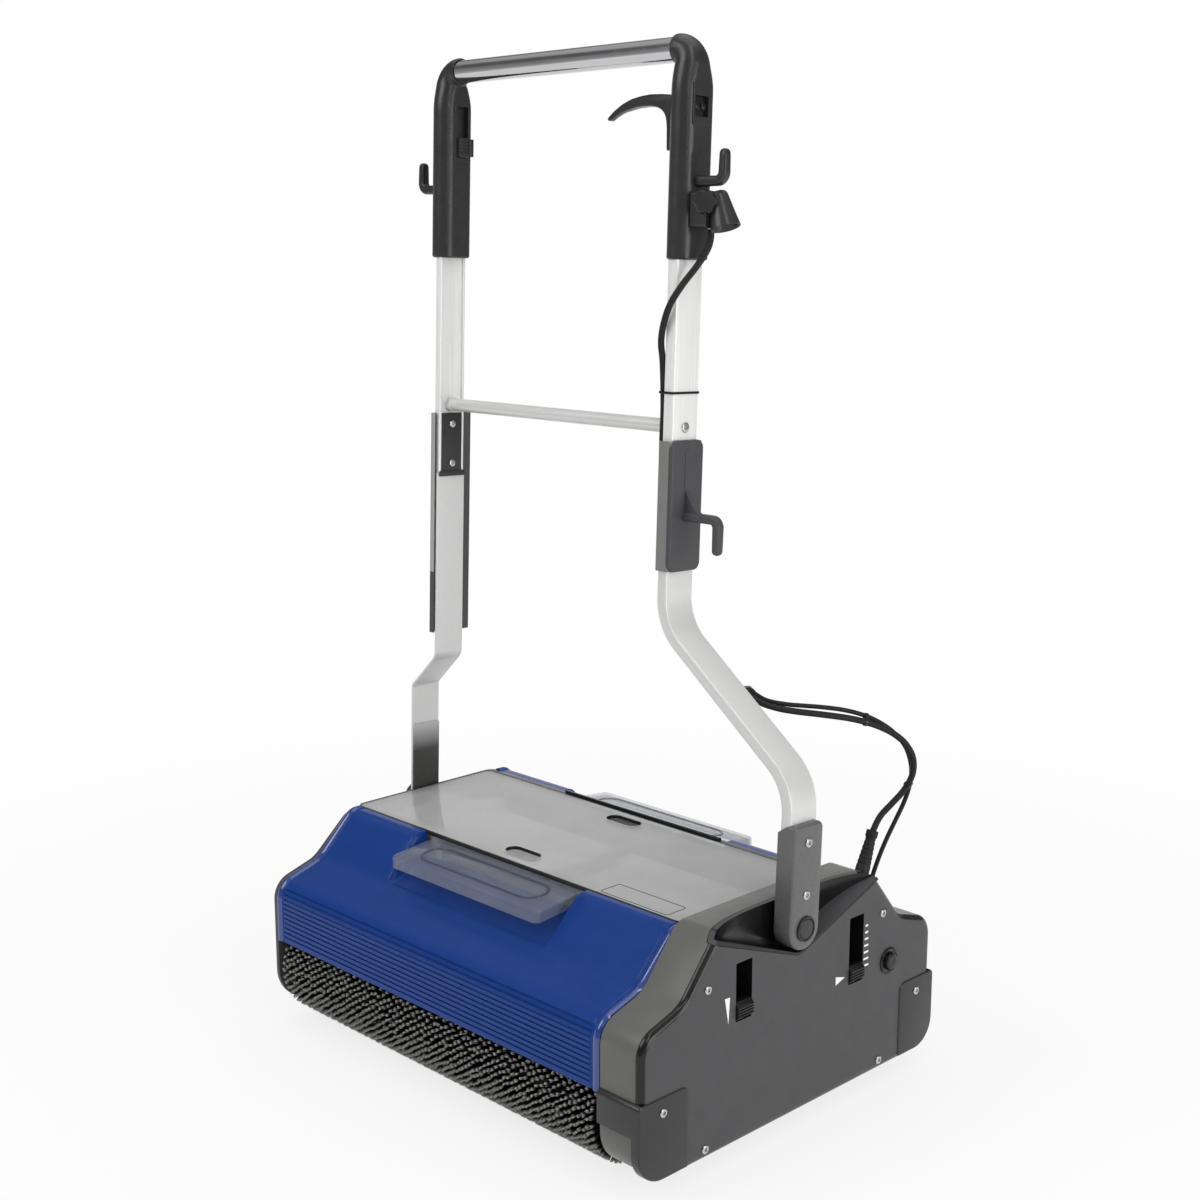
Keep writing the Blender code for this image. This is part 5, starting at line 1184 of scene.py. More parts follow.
def side_cover():
    low, high = COVER_IN - 0.01, COVER_OUT + 0.01
    tools = [pocket(GAP), rod((low, BUTTON_Y, BUTTON_Z), (high, BUTTON_Y, BUTTON_Z), BUTTON_R + GAP)]
    tools += [slot_box(slot, 0, low, high) for slot in (MOP_SLOT, LIFT_SLOT)]
    outline = hat()
    rings = [[(COVER_IN, y, z) for y, z in inset(outline, 0.0005)],
             [(COVER_IN + 0.0005, y, z) for y, z in outline]]
    for step in range(8):
        turn = math.pi / 2 * step / 7
        x = COVER_OUT - COVER_EDGE_D * (1 - math.sin(turn))
        edge = inset(outline, COVER_EDGE_W * (1 - math.cos(turn))) if step else outline
        rings.append([(x, y, z) for y, z in edge])
    return boolean(loft(rings), tools)


def add_side_cover():
    """The dark cover, whose rounded edge gets the glossy black material as a painted dark reflection, and
    the black frames of its slots.
    """
    cover = add("right_side_cover", side_cover(), "dark_plastic", "body", "right_side_cover")
    # painted reflection: the rounded edge faces belong to the same cover and are coloured black where they
    # reflect dark
    cover.data.materials.append(LOOKS["gloss_plastic"])
    for face in cover.data.polygons:
        face.material_index = int(face.normal.x < 0.96)
    for name, slot in (("mop_up_slot", MOP_SLOT), ("transport_slot", LIFT_SLOT)):
        add(name, slot_liner(slot), "gloss_plastic", "body")
    rim = [(BUTTON_R + GAP, 0), (0.0150, 0), (0.0150, 0.0010), (0.0138, 0.0024), (0.0120, 0.0024),
           (BUTTON_R + GAP, 0.0010)]
    add("button_bezel", ring_of(rim, (COVER_OUT - 0.0001, BUTTON_Y, BUTTON_Z), (1, 0, 0)), "gloss_plastic",
        "body")


def ring_of(profile, origin, direction, sides=40):
    """A closed ring: a profile that is turned about a line without touching it."""
    turn = Vector(direction).to_track_quat("Z", "Y").to_matrix()
    rings = []
    for radius, height in profile:
        angles = [2 * math.pi * step / sides for step in range(sides)]
        rings.append([Vector(origin) + turn @ Vector((radius * math.cos(angle), radius * math.sin(angle),
                                                      height))
                      for angle in angles])
    return closed_loft(rings)


COVER_SCREWS = ((-0.1405, 0.1985), (0.1400, 0.2010), (-0.142, 0.031), (0.140, 0.031))
GUARD_SCREW_Y, GUARD_SCREW_Z = 0.204, 0.093
WEDGE = ((-0.1150, 0.1810), (-0.1075, 0.1805), (-0.1095, 0.1530))
POINTER = ((0.0610, 0.1415), (0.0610, 0.1510), (0.0765, 0.1465))
TICKS, TICK_Y, TICK_HIGH, TICK_PITCH = 7, 0.1125, 0.1945, 0.0075


def printed(outline):
    """A mark printed on the side cover."""
    return slab(outline, "X", COVER_OUT - 0.0001, COVER_OUT + 0.00015)


def add_side_details():
    marks = [printed(WEDGE), printed(POINTER)]
    for tick in range(TICKS):
        half, z = 0.0022 + 0.0004 * tick, TICK_HIGH - TICK_PITCH * tick
        marks.append(printed([(TICK_Y - half, z - 0.0011), (TICK_Y + half, z - 0.0011),
                              (TICK_Y + half, z + 0.0011), (TICK_Y - half, z + 0.0011)]))
    add("cover_marks", merge(*marks), "white_print", "body")
    places = [(COVER_OUT, y, z) for y, z in COVER_SCREWS]
    places += [(COVER_OUT + GUARD_FACE, side * GUARD_SCREW_Y, GUARD_SCREW_Z) for side in (-1, 1)]
    add("cover_screws", merge(*(screw_head(place, (1, 0, 0)) for place in places)), "steel", "body")


def pocket_liner():
    liner = boolean(pocket(), [slab(hat(), "X", FRAME_IN, COVER_OUT)], "INTERSECT")
    return boolean(liner, [pocket(-LINER),
                           rod((FRAME_IN, 0, PIVOT_Z), (COVER_OUT, 0, PIVOT_Z), PIN_R + GAP)])


GUARD_PROUD, GUARD_FACE, GUARD_TOP, GUARD_WRAP = 0.005, 0.0015, 0.109, 0.074
GUARD_W, GUARD_RISE, GUARD_FOOT_R = {-1: 0.0655, 1: 0.057}, 0.0035, 0.045


def guard(side):
    """A corner guard on the side cover, with a band that wraps round the front or rear."""
    outer, inner = HALF_DEPTH + GUARD_PROUD, HALF_DEPTH - GUARD_W[side]
    low = SIDE_BOTTOM + GUARD_RISE
    outline = rounded([
        (side * inner, low, 0.003), (side * outer, low, GUARD_FOOT_R),
        (side * outer, GUARD_TOP, 0.006), (side * inner, GUARD_TOP, 0.010)], 14)
    shape = slab(outline, "X", FRAME_IN + GAP, COVER_OUT + GUARD_FACE, 0.0015, 0.0020)
    inside = rounded(mirrored([
        (HALF_DEPTH + GAP, SIDE_BOTTOM - GAP, FOOT_R), (HALF_DEPTH + GAP, SHOULDER_Z, SHOULDER_R)]), 14)
    ends = sorted((side * (inner - 0.01), side * (outer + 0.01)))
    below = block((FRAME_IN - 0.01, ends[0], low - 0.01), (COVER_IN - 0.001, ends[1], GUARD_WRAP))
    return boolean(shape, [slab(inside, "X", FRAME_IN - 0.01, COVER_OUT + GAP), below])


def lever(slot):
    """A thumb lever that fills its slot's width, with ridges to push."""
    middle, low, _ = slot
    low += GAP
    out = COVER_OUT + LEVER_PROUD
    outline = [(COVER_IN, low), (COVER_OUT - 0.001, low), (COVER_OUT + 0.001, low + 0.002)]
    for ridge in range(4):
        z = low + 0.0045 + 0.0030 * ridge
        outline += [(out - 0.0012, z), (out, z + 0.0007), (out, z + 0.0016), (out - 0.0012, z + 0.0023)]
    outline += [(COVER_OUT + 0.001, low + LEVER_H - 0.002), (COVER_OUT - 0.001, low + LEVER_H),
                (COVER_IN, low + LEVER_H)]
    return slab(outline, "Y", middle - SLOT_HALF + GAP, middle + SLOT_HALF - GAP, 0.0003, 0.0003)


def reset_button():
    top = COVER_OUT + BUTTON_PROUD - COVER_IN
    profile = [(0, 0), (BUTTON_R, 0), (BUTTON_R, top - 0.0020), (BUTTON_R - 0.0006, top - 0.0006),
               (BUTTON_R - 0.002, top), (0.45 * BUTTON_R, top - 0.0004), (0, top - 0.0006)]
    return revolve(profile, (COVER_IN, BUTTON_Y, BUTTON_Z), (1, 0, 0), 40)


def add_body():
    add("left_side_plate", side_plate(), "dark_plastic", "body", "left_side_plate")
    add("right_side_frame", drive_housing(), "grey_plastic", "body", "right_side_frame")
    add_side_cover()
    add_side_details()
    liner = add("pivot_pocket", pocket_liner(), "gloss_plastic", "body", "pivot_pocket")
    # painted light: the liner's facets that face forward and up get the paler dark grey where more light
    # falls on them; the rest stays glossy black
    liner.data.materials.append(LOOKS["dark_plastic"])
    for face in liner.data.polygons:
        face.material_index = int(face.normal.y < -0.2 and face.normal.z > 0.5)
    add_tanks()
    for side, place in ((-1, "front"), (1, "rear")):
        add_blue_cover(side, place)
        add(f"{place}_tank_grip", tank_hold(side), "clear_grip", "body", f"{place}_tank_grip")
        add(f"{place}_grip_field", hold_field(side), "smoked", "body")
        add(f"right_{place}_guard", guard(side), "black_plastic", "body", f"right_{place}_guard")
    add_lid()
    add("mop_up_lever", lever(MOP_SLOT), "gloss_plastic", "mop_up_lever", "mop_up_lever")
    add("transport_lever", lever(LIFT_SLOT), "gloss_plastic", "transport_lever", "transport_lever")
    add("reset_button", reset_button(), "gloss_plastic", "reset_button", "reset_button")


# Brushes

TUFT_ROWS, TUFT_COLUMNS, STRANDS = 86, 48, 12


def brush_mesh():
    """A core with staggered tufts of thin strands, lying along X about the origin."""
    chance = random.Random(4)
    half = (BRUSH_RIGHT - BRUSH_LEFT) / 2
    shape = rod((-half, 0, 0), (half, 0, 0), CORE_R, 0.001, 54)
    for row in range(TUFT_ROWS):
        for column in range(TUFT_COLUMNS):
            x = (2 * (row + 0.5) / TUFT_ROWS - 1) * (half - 0.003) + chance.gauss(0, 0.0004)
            turn = 2 * math.pi * (column + 0.5 * (row % 2)) / TUFT_COLUMNS + chance.gauss(0, 0.010)
            for _ in range(STRANDS):
                strand(shape, chance, x, turn, half)
    mesh = bpy.data.meshes.new("brush")
    shape.to_mesh(mesh)
    shape.free()
    mesh.materials.append(LOOKS["bristle"])
    return mesh


def strand(shape, chance, x, turn, half):
    """One bristle of three sides, leaning a little out of its tuft."""
    spread_x, spread_turn = chance.gauss(0, 0.0007), chance.gauss(0, 0.010)
    tip_x = max(-half, min(half, x + 1.25 * spread_x + chance.gauss(0, 0.0002)))
    tip_r = BRUSH_R - abs(chance.gauss(0, 0.0006))
    rings = []
    for place, angle, radius, thick in ((x + spread_x, turn + spread_turn, CORE_R - 0.0005, 0.00050),
                                        (tip_x, turn + 1.4 * spread_turn, tip_r, 0.00046)):
        across = Vector((0, -math.sin(angle), math.cos(angle)))
        centre = Vector((place, radius * math.cos(angle), radius * math.sin(angle)))
        rings.append([
            shape.verts.new(centre + thick * (math.cos(side) * across + math.sin(side) * Vector((1, 0, 0))))
            for side in (0.5, 0.5 + 2 * math.pi / 3, 0.5 + 4 * math.pi / 3)])
    for index in range(3):
        shape.faces.new((rings[0][index - 1], rings[0][index], rings[1][index], rings[1][index - 1]))
    shape.faces.new(rings[1])


def add_brushes():
    mesh = brush_mesh()
    for side, place in ((-1, "front"), (1, "rear")):
        brush = bpy.data.objects.new(f"{place}_brush_visual", mesh)
        brush.location = ((BRUSH_LEFT + BRUSH_RIGHT) / 2, side * BRUSH_Y, BRUSH_Z)
        SCENE.collection.objects.link(brush)
        bpy.context.view_layer.update()
        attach(brush, f"{place}_brush")
        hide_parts(f"{place}_brush")


def add_inside():
    """Drive, wheels and rollers, which the covers hide: their CAD shapes stay."""
    keep("steel", "centre_chassis", "drive_motor", "front_brush_shaft", "rear_brush_shaft", "drive_shaft",
         "counter_shaft", "wheel_carriage")
    keep("black_rubber", "front_belt", "rear_belt", "front_pickup_roller", "rear_pickup_roller",
         "front_left_wheel",
         "front_right_wheel", "rear_left_wheel", "rear_right_wheel")
    keep("black_plastic", "left_front_bearing", "left_rear_bearing")


# Handle

def pivot_bracket():
    """The right boss round the pivot that the arm's foot plugs into; its top slopes down to the inside."""
    half = BRACKET_W / 2
    outline = rounded([(half, PIVOT_Z - half, half - 0.0001), (half, BRACKET_TOP, 0.008),
                       (-half, BRACKET_TOP, 0.004), (-half, PIVOT_Z - half, half - 0.0001)], 16)
    inner, outer = HALF_SPAN - BRACKET_T, HALF_SPAN
    shape = slab(outline, "X", inner, outer, 0.0015, 0.003)
    half_t, half_w = ARM_T / 2 + GAP, ARM_W / 2 + GAP
    socket = block((ARM_X - half_t, -half_w, ARM_FOOT - GAP), (ARM_X + half_t, half_w, BRACKET_TOP + 0.01),
                   0.002)
    bore = rod((inner - 0.01, 0, PIVOT_Z), (outer + 0.01, 0, PIVOT_Z), PIN_R + GAP)
    wedge = slab([(inner - 0.01, BRACKET_TOP - 0.0170), (inner + 0.0145, BRACKET_TOP + 0.0005),
                  (inner - 0.01, BRACKET_TOP + 0.02)], "Y", -0.04, 0.04)
    return boolean(shape, [socket, bore, wedge])


def left_bracket():
    """The left boss, low beside the side plate, with a thin plate up the arm's inner face."""
    reach = LEFT_BOSS_R
    outline = oblong(-reach, reach, PIVOT_Z - reach, PIVOT_Z + reach, reach - 0.0001, 14)
    outer, inner = -HALF_SPAN, BRACKET_T - HALF_SPAN
    bore = rod((outer - 0.01, 0, PIVOT_Z), (inner + 0.01, 0, PIVOT_Z), PIN_R + GAP)
    boss = boolean(slab(outline, "X", outer, inner, 0.003, 0.0015), [bore])
    plate = block((ARM_T / 2 + GAP - ARM_X, -LEFT_PLATE_W / 2, PIVOT_Z + PIN_R + 0.004),
                  (inner, LEFT_PLATE_W / 2, LEFT_PLATE_TOP), 0.003, "X", 0.0004)
    return merge(boss, plate)


def pivot_pin(side):
    """The pivot's pin with a ringed cap."""
    root = side * (COVER_OUT - POCKET_DEPTH - PIN_SEAT) if side > 0 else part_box("left_pivot_pin")[1].x
    length = HALF_SPAN + GAP - abs(root)
    cap = PIN_CAP_R
    profile = [(0, 0), (PIN_R - 0.0005, 0), (PIN_R, 0.0005), (PIN_R, length), (cap - 0.0004, length),
               (cap, length + 0.0004),
               (cap, length + PIN_CAP_T - 0.0007), (cap - 0.0007, length + PIN_CAP_T),
               (cap - 0.0016, length + PIN_CAP_T),
               (cap - 0.0022, length + PIN_CAP_T - 0.0014), (cap - 0.0028, length + PIN_CAP_T - 0.0014),
               (cap - 0.0034, length + PIN_CAP_T - 0.0006), (0.003, length + PIN_CAP_T - 0.0003),
               (0, length + PIN_CAP_T - 0.0003)]
    return revolve(profile, (root, 0, PIVOT_Z), (side, 0, 0), 48)


def arm(corners, thick=ARM_T):
    """A bent flat bar; a thinner one keeps its inner face."""
    section = oblong(-ARM_T / 2, thick - ARM_T / 2, -ARM_W / 2, ARM_W / 2, min(0.0022, 0.4 * thick), 4)
    return sweep(rounded(corners, 20, closed=False), lambda share: section)


def upright(leg, inward, thin=0.0):
    """An extruded bar with a groove on its inner face; thin is taken off its outer side."""
    t, w, c = UPRIGHT_T / 2, UPRIGHT_W / 2, CHANNEL_W / 2
    section = rounded([
        (thin - t, -w, 0.0015), (t, -w, 0.0015), (t, -c, 0.0006), (t - CHANNEL_D, -c, 0.0004),
        (t - CHANNEL_D, c, 0.0004),
        (t, c, 0.0006), (t, w, 0.0015), (thin - t, w, 0.0015)], 4)
    return slab([(leg + inward * x, y) for x, y in section], "Z", JOINT_Z + GAP, GRIP_BOTTOM + 0.030)


GRIP_REACH, GRIP_END_R, GRIP_ELBOW_R, GRIP_SKIRT = 0.0190, 0.0155, 0.0168, 0.0028


def grip_blank(leg, inward, thin=0.0):
    """A moulded grip: rounded at the front, bent over into a round end for the bar."""
    bottom = GRIP_BOTTOM - GRIP_SKIRT
    path = [(leg, bottom), (leg, bottom + 0.0004), (leg, bottom + 0.0016)]
    path += [(leg, bottom + (BAR_Z - GRIP_ELBOW_R - bottom) * step / 30) for step in range(1, 30)]
    for step in range(19):
        angle = math.pi / 2 * step / 18
        path.append((leg + inward * GRIP_ELBOW_R * (1 - math.cos(angle)),
                     BAR_Z + GRIP_ELBOW_R * (math.sin(angle) - 1)))
    end = leg + inward * GRIP_REACH
    path += [(end - inward * 0.0016, BAR_Z), (end - inward * 0.0004, BAR_Z), (end, BAR_Z)]
    half = GRIP_W / 2
    flat = rounded([(-half, -GRIP_D / 2, 0.0149), (half, -GRIP_D / 2, 0.0149),
                    (half, GRIP_D / 2, 0.008), (-half, GRIP_D / 2, 0.008)], 10)
    r = GRIP_END_R
    round_end = rounded([(-r, -r, 0.0154), (r, -r, 0.0154), (r, r, 0.0154), (-r, r, 0.0154)], 10)
    length = BAR_Z - bottom + GRIP_REACH

    def ring_at(share):
        blend = smoothstep(0.76, 0.97, share)
        ring = [Vector(a).lerp(Vector(b), blend) for a, b in zip(flat, round_end)]
        near = min(share, 1 - share) * length
        pinch = 0.0015 * (1 - smoothstep(0, 0.0018, near))
        return inset(ring, pinch) if pinch else ring

    reach = UPRIGHT_T / 2 + GAP
    low_x, high_x = sorted((leg + inward * reach, leg + inward * (thin - reach)))
    socket = block((low_x, -UPRIGHT_W / 2 - GAP, bottom - 0.01),
                   (high_x, UPRIGHT_W / 2 + GAP, GRIP_BOTTOM + 0.0303), 0.0015)
    bar = rod((leg + inward * (GRIP_REACH - 0.0085), 0, BAR_Z), (leg + inward * 0.06, 0, BAR_Z), BAR_R + GAP)
    return boolean(sweep(path, ring_at), [socket, bar])


TRIGGER_W, TRIGGER_HIGH, TRIGGER_LOW = 0.0194, 1.058, 1.003
ROCKER_Z, ROCKER_H, ROCKER_W, ROCKER_T = 1.046, 0.020, 0.019, 0.005
CATCH_LOW, CATCH_HIGH, CATCH_W, CATCH_H = 1.008, 1.0655, 0.016, 0.022
CATCH_D, CATCH_PROUD, CATCH_BACK = 0.006, 0.005, 0.0045
PANEL_PROUD = 0.0007


def right_grip():
    half = TRIGGER_W / 2 + GAP
    slot = block((GRIP_IN_RIGHT - 0.01, -half, TRIGGER_LOW - 0.001),
                 (GRIP_IN_RIGHT + 0.010, half, TRIGGER_HIGH + 0.008),
                 0.002, "X")
    w, h = ROCKER_W / 2 + GAP, ROCKER_H / 2 + GAP
    recess_tool = block((GRIP_OUT_RIGHT - 0.007, -w, ROCKER_Z - h),
                        (GRIP_OUT_RIGHT + 0.01, w, ROCKER_Z + h), 0.001, "X")
    return boolean(grip_blank(RIGHT_LEG, -1), [slot, recess_tool])


def left_grip():
    slot = block((GRIP_IN_LEFT - CATCH_D, CATCH_BACK - CATCH_W / 2, CATCH_LOW),
                 (GRIP_IN_LEFT + 0.01, CATCH_BACK + CATCH_W / 2, CATCH_HIGH), 0.001, "X")
    return boolean(grip_blank(LEFT_LEG, 1, LEFT_THIN), [slot])


def framed(low, high, window_low, window_high, radius=0.002):
    """A thin raised panel round a window in a grip's side."""
    panel = block(low, high, radius, "X", 0.0004)
    return boolean(panel, [block(window_low, window_high, 0.001, "X")])


def catch_frame():
    half = CATCH_W / 2
    return framed((GRIP_IN_LEFT - 0.0006, CATCH_BACK - half - 0.004, CATCH_LOW - 0.005),
                  (GRIP_IN_LEFT + PANEL_PROUD, CATCH_BACK + half + 0.0035, CATCH_HIGH + 0.004),
                  (GRIP_IN_LEFT - 0.01, CATCH_BACK - half, CATCH_LOW),
                  (GRIP_IN_LEFT + 0.01, CATCH_BACK + half, CATCH_HIGH))


def rocker_frame():
    w, h = ROCKER_W / 2 + GAP, ROCKER_H / 2 + GAP
    return framed((GRIP_OUT_RIGHT - 0.0006, -w - 0.0025, ROCKER_Z - 0.019),
                  (GRIP_OUT_RIGHT + PANEL_PROUD, w + 0.0025, ROCKER_Z + 0.024),
                  (GRIP_OUT_RIGHT - 0.01, -w, ROCKER_Z - h), (GRIP_OUT_RIGHT + 0.01, w, ROCKER_Z + h))


def trigger():
    """A slender curved finger lever whose foot lies in the grip's slot."""
    face, top = GRIP_IN_RIGHT, TRIGGER_HIGH
    upper = [(0, 0.0005), (-0.018, 0.0022), (-0.035, 0.0030), (-0.050, 0.0022), (-0.066, 0),
             (-0.080, -0.0045),
             (-0.092, -0.0108)]
    tip = [(-0.1005, -0.0170), (-0.1015, -0.0198), (-0.0988, -0.0208)]
    lower = [(-0.091, -0.0168), (-0.081, -0.0128), (-0.069, -0.0106), (-0.060, -0.0090), (-0.048, -0.0083),
             (-0.036, -0.0088), (-0.027, -0.0101), (-0.019, -0.0128), (-0.0135, -0.0168), (-0.0105, -0.0228),
             (-0.0092, -0.032)]
    corners = [(0.0065, TRIGGER_LOW - top, 0.002), (0.0065, 0, 0.002)]
    corners += [(x, z, 0.03) for x, z in upper] + [(x, z, 0.003) for x, z in tip] + [(x, z, 0.03) for x,
                                                                                     z in lower]
    corners.append((-0.0085, TRIGGER_LOW - top, 0.002))
    outline = rounded([(face + x, top + z, radius) for x, z, radius in corners], 3)
    shape = slab(outline, "Y", -TRIGGER_W / 2, TRIGGER_W / 2, 0.0015, 0.0015)
    for vert in shape.verts:
        vert.co.y *= 1 - 0.62 * smoothstep(0.004, 0.090, face - vert.co.x)
    return shape


def slide_catch():
    half = CATCH_W / 2 - GAP
    low = CATCH_LOW + GAP
    front, back = CATCH_BACK - half, CATCH_BACK + half
    shape = block((GRIP_IN_LEFT - CATCH_D + GAP, front, low),
                  (GRIP_IN_LEFT + CATCH_PROUD, back, low + CATCH_H),
                  0.0015, "X", 0.0008)
    grooves = []
    for step in range(4):
        z = low + 0.005 + 0.004 * step
        grooves.append(block((GRIP_IN_LEFT + CATCH_PROUD - 0.0008, front - 0.01, z),
                             (GRIP_IN_LEFT + 0.02, back + 0.01, z + 0.0014)))
    edge = GRIP_IN_LEFT + PANEL_PROUD + GAP
    pad = block((edge, back - 0.002, low + 0.001), (edge + 0.0058, back + 0.0056, low + CATCH_H - 0.001),
                0.0026, "Z", 0.0008)
    return merge(boolean(shape, grooves), pad)


def rocker():
    """A switch rocker: a sunk plate with two round bumps."""
    half, depth = ROCKER_W / 2 - 0.0006, 0.0022
    back, face = GRIP_OUT_RIGHT - ROCKER_T, GRIP_OUT_RIGHT - depth
    outline = rounded([(back, -half * 0.7, 0.0005), (face, -half, 0.0005), (face, half, 0.0005),
                       (back, half * 0.7, 0.0005)], 3)
    plate = slab(outline, "Z", ROCKER_Z - ROCKER_H / 2, ROCKER_Z + ROCKER_H / 2, 0.0003, 0.0003)
    bumps = []
    for side in (-1, 1):
        dome = [(0, -0.0004), (0.0040, -0.0004), (0.0040, 0.0006), (0.0034, 0.0015), (0.0020, 0.0021),
                (0, 0.0022)]
        bumps.append(revolve(dome, (face, side * 0.0046, ROCKER_Z), (1, 0, 0), 24))
    return merge(plate, *bumps)


HOOK_Z, HOOK_T, HOOK_W, HOOK_REACH, HOOK_RISE = 0.9665, 0.011, 0.012, 0.040, 0.037


def cable_hook(face, outward):
    """An upturned hook on a grip's outer face, slimmer towards its rounded tip."""
    start, end = face + outward * GAP, face + outward * (HOOK_REACH - HOOK_T / 2)
    middle = HOOK_Z + HOOK_T / 2
    path = rounded([(start, middle, 0), (end, middle, 0.009), (end, HOOK_Z + HOOK_RISE, 0)], 14,
                   closed=False)
    return finger(path, HOOK_T, HOOK_W, 0.8)


def finger(path, thick, width, taper):
    """A flat bent finger with soft edges that narrows to a rounded tip."""
    last = Vector(path[-2])
    along = Vector(path[-1]) - last
    points = path[:-1] + [tuple(last + along * share) for share in (0.25, 0.5, 0.7, 0.82, 0.9, 0.96, 1.0)]
    section = oblong(-thick / 2, thick / 2, -width / 2, width / 2, 0.0028, 4)
    total = sum((Vector(b) - Vector(a)).length for a, b in zip(points, points[1:]))

    def ring_at(share):
        left = (1 - share) * total
        size = 1 - (1 - taper) * share
        reach = min(1.0, left / (thick / 2))
        size *= 0.35 + 0.65 * math.sqrt(max(0.0, 1 - (1 - reach) ** 2))
        return [(u * size, v * size) for u, v in section]

    return sweep(points, ring_at)


def inlet_block():
    """The mains inlet: a block on the grip, a lobed boss and a flared hood over its socket."""
    face = GRIP_OUT_RIGHT + GAP
    base = block((face, INLET_FRONT, INLET_LOW), (face + INLET_T, INLET_BACK, INLET_TOP), 0.004, "X", 0.001)
    y = (INLET_FRONT + INLET_BACK) / 2
    mouth, crown = Vector((face + 0.035, y, INLET_LOW)), Vector((face + 0.023, y, INLET_LOW + 0.036))
    length = (crown - mouth).length
    profile = [(0, 0.020), (0.0080, 0.020), (0.0110, 0.006), (0.0150, 0), (0.0158, 0.0004),
               (0.0154, 0.0030), (0.0140, 0.010),
               (0.0124, 0.018), (0.0110, 0.026), (0.0100, length - 0.006), (0.0090, length - 0.002),
               (0.0072, length), (0, length)]
    boss = [(0, 0), (0.0115, 0), (0.0115, 0.0080), (0.0102, 0.0095), (0.0050, 0.0100), (0, 0.0100)]
    place = (face + INLET_T - 0.004, INLET_FRONT + 0.004, INLET_TOP - 0.012)
    return merge(base, revolve(profile, mouth, crown - mouth, 40),
                 revolve(boss, place, (0.6, -0.8, 0.1), 48, 6, 0.09))


SLEEVE_LOW, SLEEVE_HIGH, SLEEVE_T = 0.570, 0.707, 0.003
SLEEVE_HOOK_Z, SLEEVE_REACH, SLEEVE_DROP = 0.628, 0.056, 0.0365
TIE_BAND_Z = 0.757


def hook_bracket():
    """A sleeve clipped round the right joint from outside."""
    inner_x, outer_x = RIGHT_LEG - UPRIGHT_T / 2, RIGHT_LEG + UPRIGHT_T / 2 + GAP
    inner_y = ARM_W / 2 + GAP
    outer_y = inner_y + SLEEVE_T
    section = rounded([
        (inner_x, -outer_y, 0.001), (outer_x + SLEEVE_T, -outer_y, 0.0025),
        (outer_x + SLEEVE_T, outer_y, 0.0025),
        (inner_x, outer_y, 0.001), (inner_x, inner_y, 0.0005), (outer_x, inner_y, 0.0005),
        (outer_x, -inner_y, 0.0005), (inner_x, -inner_y, 0.0005)], 4)
    return slab(section, "Z", SLEEVE_LOW, SLEEVE_HIGH, 0.0004, 0.0004)


def hook_panel():
    """The sleeve's dark outer panel with a downturned hook on a gusset."""
    face = RIGHT_LEG + UPRIGHT_T / 2 + GAP + SLEEVE_T
    half = ARM_W / 2 + SLEEVE_T + 2 * GAP
    panel = slab(oblong(-half, half, SLEEVE_LOW - 0.001, SLEEVE_HIGH + 0.001, 0.009), "X", face - 0.0022,
                 face + 0.0026,
                 0.0003, 0.0026)
    rib = slab(oblong(-0.004, 0.003, SLEEVE_HOOK_Z + 0.024, SLEEVE_HIGH - 0.010, 0.0012), "X", face + 0.002,
               face + 0.0033,
               0, 0.0006)
    end = face + SLEEVE_REACH - SLEEVE_T - 0.005
    path = rounded([(face, SLEEVE_HOOK_Z, 0), (end, SLEEVE_HOOK_Z, 0.008),
                    (end, SLEEVE_HOOK_Z - SLEEVE_DROP, 0)], 14, closed=False)
    curve = [(face + 0.002 + 0.028 * step / 8,
              SLEEVE_HOOK_Z + 0.003 + 0.028 * (1 - step / 8) ** 2) for step in range(9)]
    web = slab([(face + 0.002, SLEEVE_HOOK_Z - 0.002)] + [(face + 0.030,
                                                           SLEEVE_HOOK_Z - 0.002)] + curve[::-1],
               "Y", -0.003, 0.003, 0.0006, 0.0006)
    return merge(panel, rib, finger(path, 0.010, 0.012, 0.85), web)


def upright_tie():
    """A cord tie round the right upright and the lead beside it."""
    x, w, lead = UPRIGHT_T / 2 + GAP, UPRIGHT_W / 2 + GAP, UPRIGHT_T / 2 + 2 * CABLE_R + 2 * GAP
    corners = [(x, -w, 0.0016), (x, w, 0.0016), (-x, w, 0.0016), (-lead, -0.008, 0.003),
               (-lead, -w + 0.001, 0.003),
               (-x, -w, 0.0016)]
    inside = rounded([(RIGHT_LEG + a, b, radius) for a, b, radius in corners], 5)
    outside = inset(inside, -0.0012)
    return boolean(slab(outside, "Z", TIE_BAND_Z - 0.0013, TIE_BAND_Z + 0.0013, 0.0004, 0.0004),
                   [slab(inside, "Z", TIE_BAND_Z - 0.01, TIE_BAND_Z + 0.01)])


STRIP_LOW, STRIP_PALE, STRIP_HIGH = 0.445, 0.520, 0.711
STRIP_T, STRIP_REAR, STRIP_FLANGE, STRIP_LIP = 0.0018, 0.012, 0.006, 0.0062


def left_strip():
    """A thin channel over the outer side of the left joint, with a narrow front edge and a wide rear one."""
    outer_x = LEFT_LEG - UPRIGHT_T / 2 + LEFT_THIN - GAP
    front_x, rear_x = outer_x + STRIP_LIP, outer_x + STRIP_FLANGE
    inner_y = ARM_W / 2 + GAP
    front, rear = -inner_y - STRIP_T, inner_y + STRIP_REAR
    section = rounded([
        (outer_x - STRIP_T, front, 0.001), (front_x, front, 0.0006), (front_x, -inner_y, 0.0005),
        (outer_x, -inner_y, 0.0005),
        (outer_x, inner_y, 0.0005), (rear_x, inner_y, 0.0005), (rear_x, rear, 0.002),
        (outer_x - STRIP_T, rear, 0.002)], 4)
    return loft([[(x, y, z) for x, y in section] for z in (STRIP_LOW, STRIP_PALE, STRIP_HIGH)])


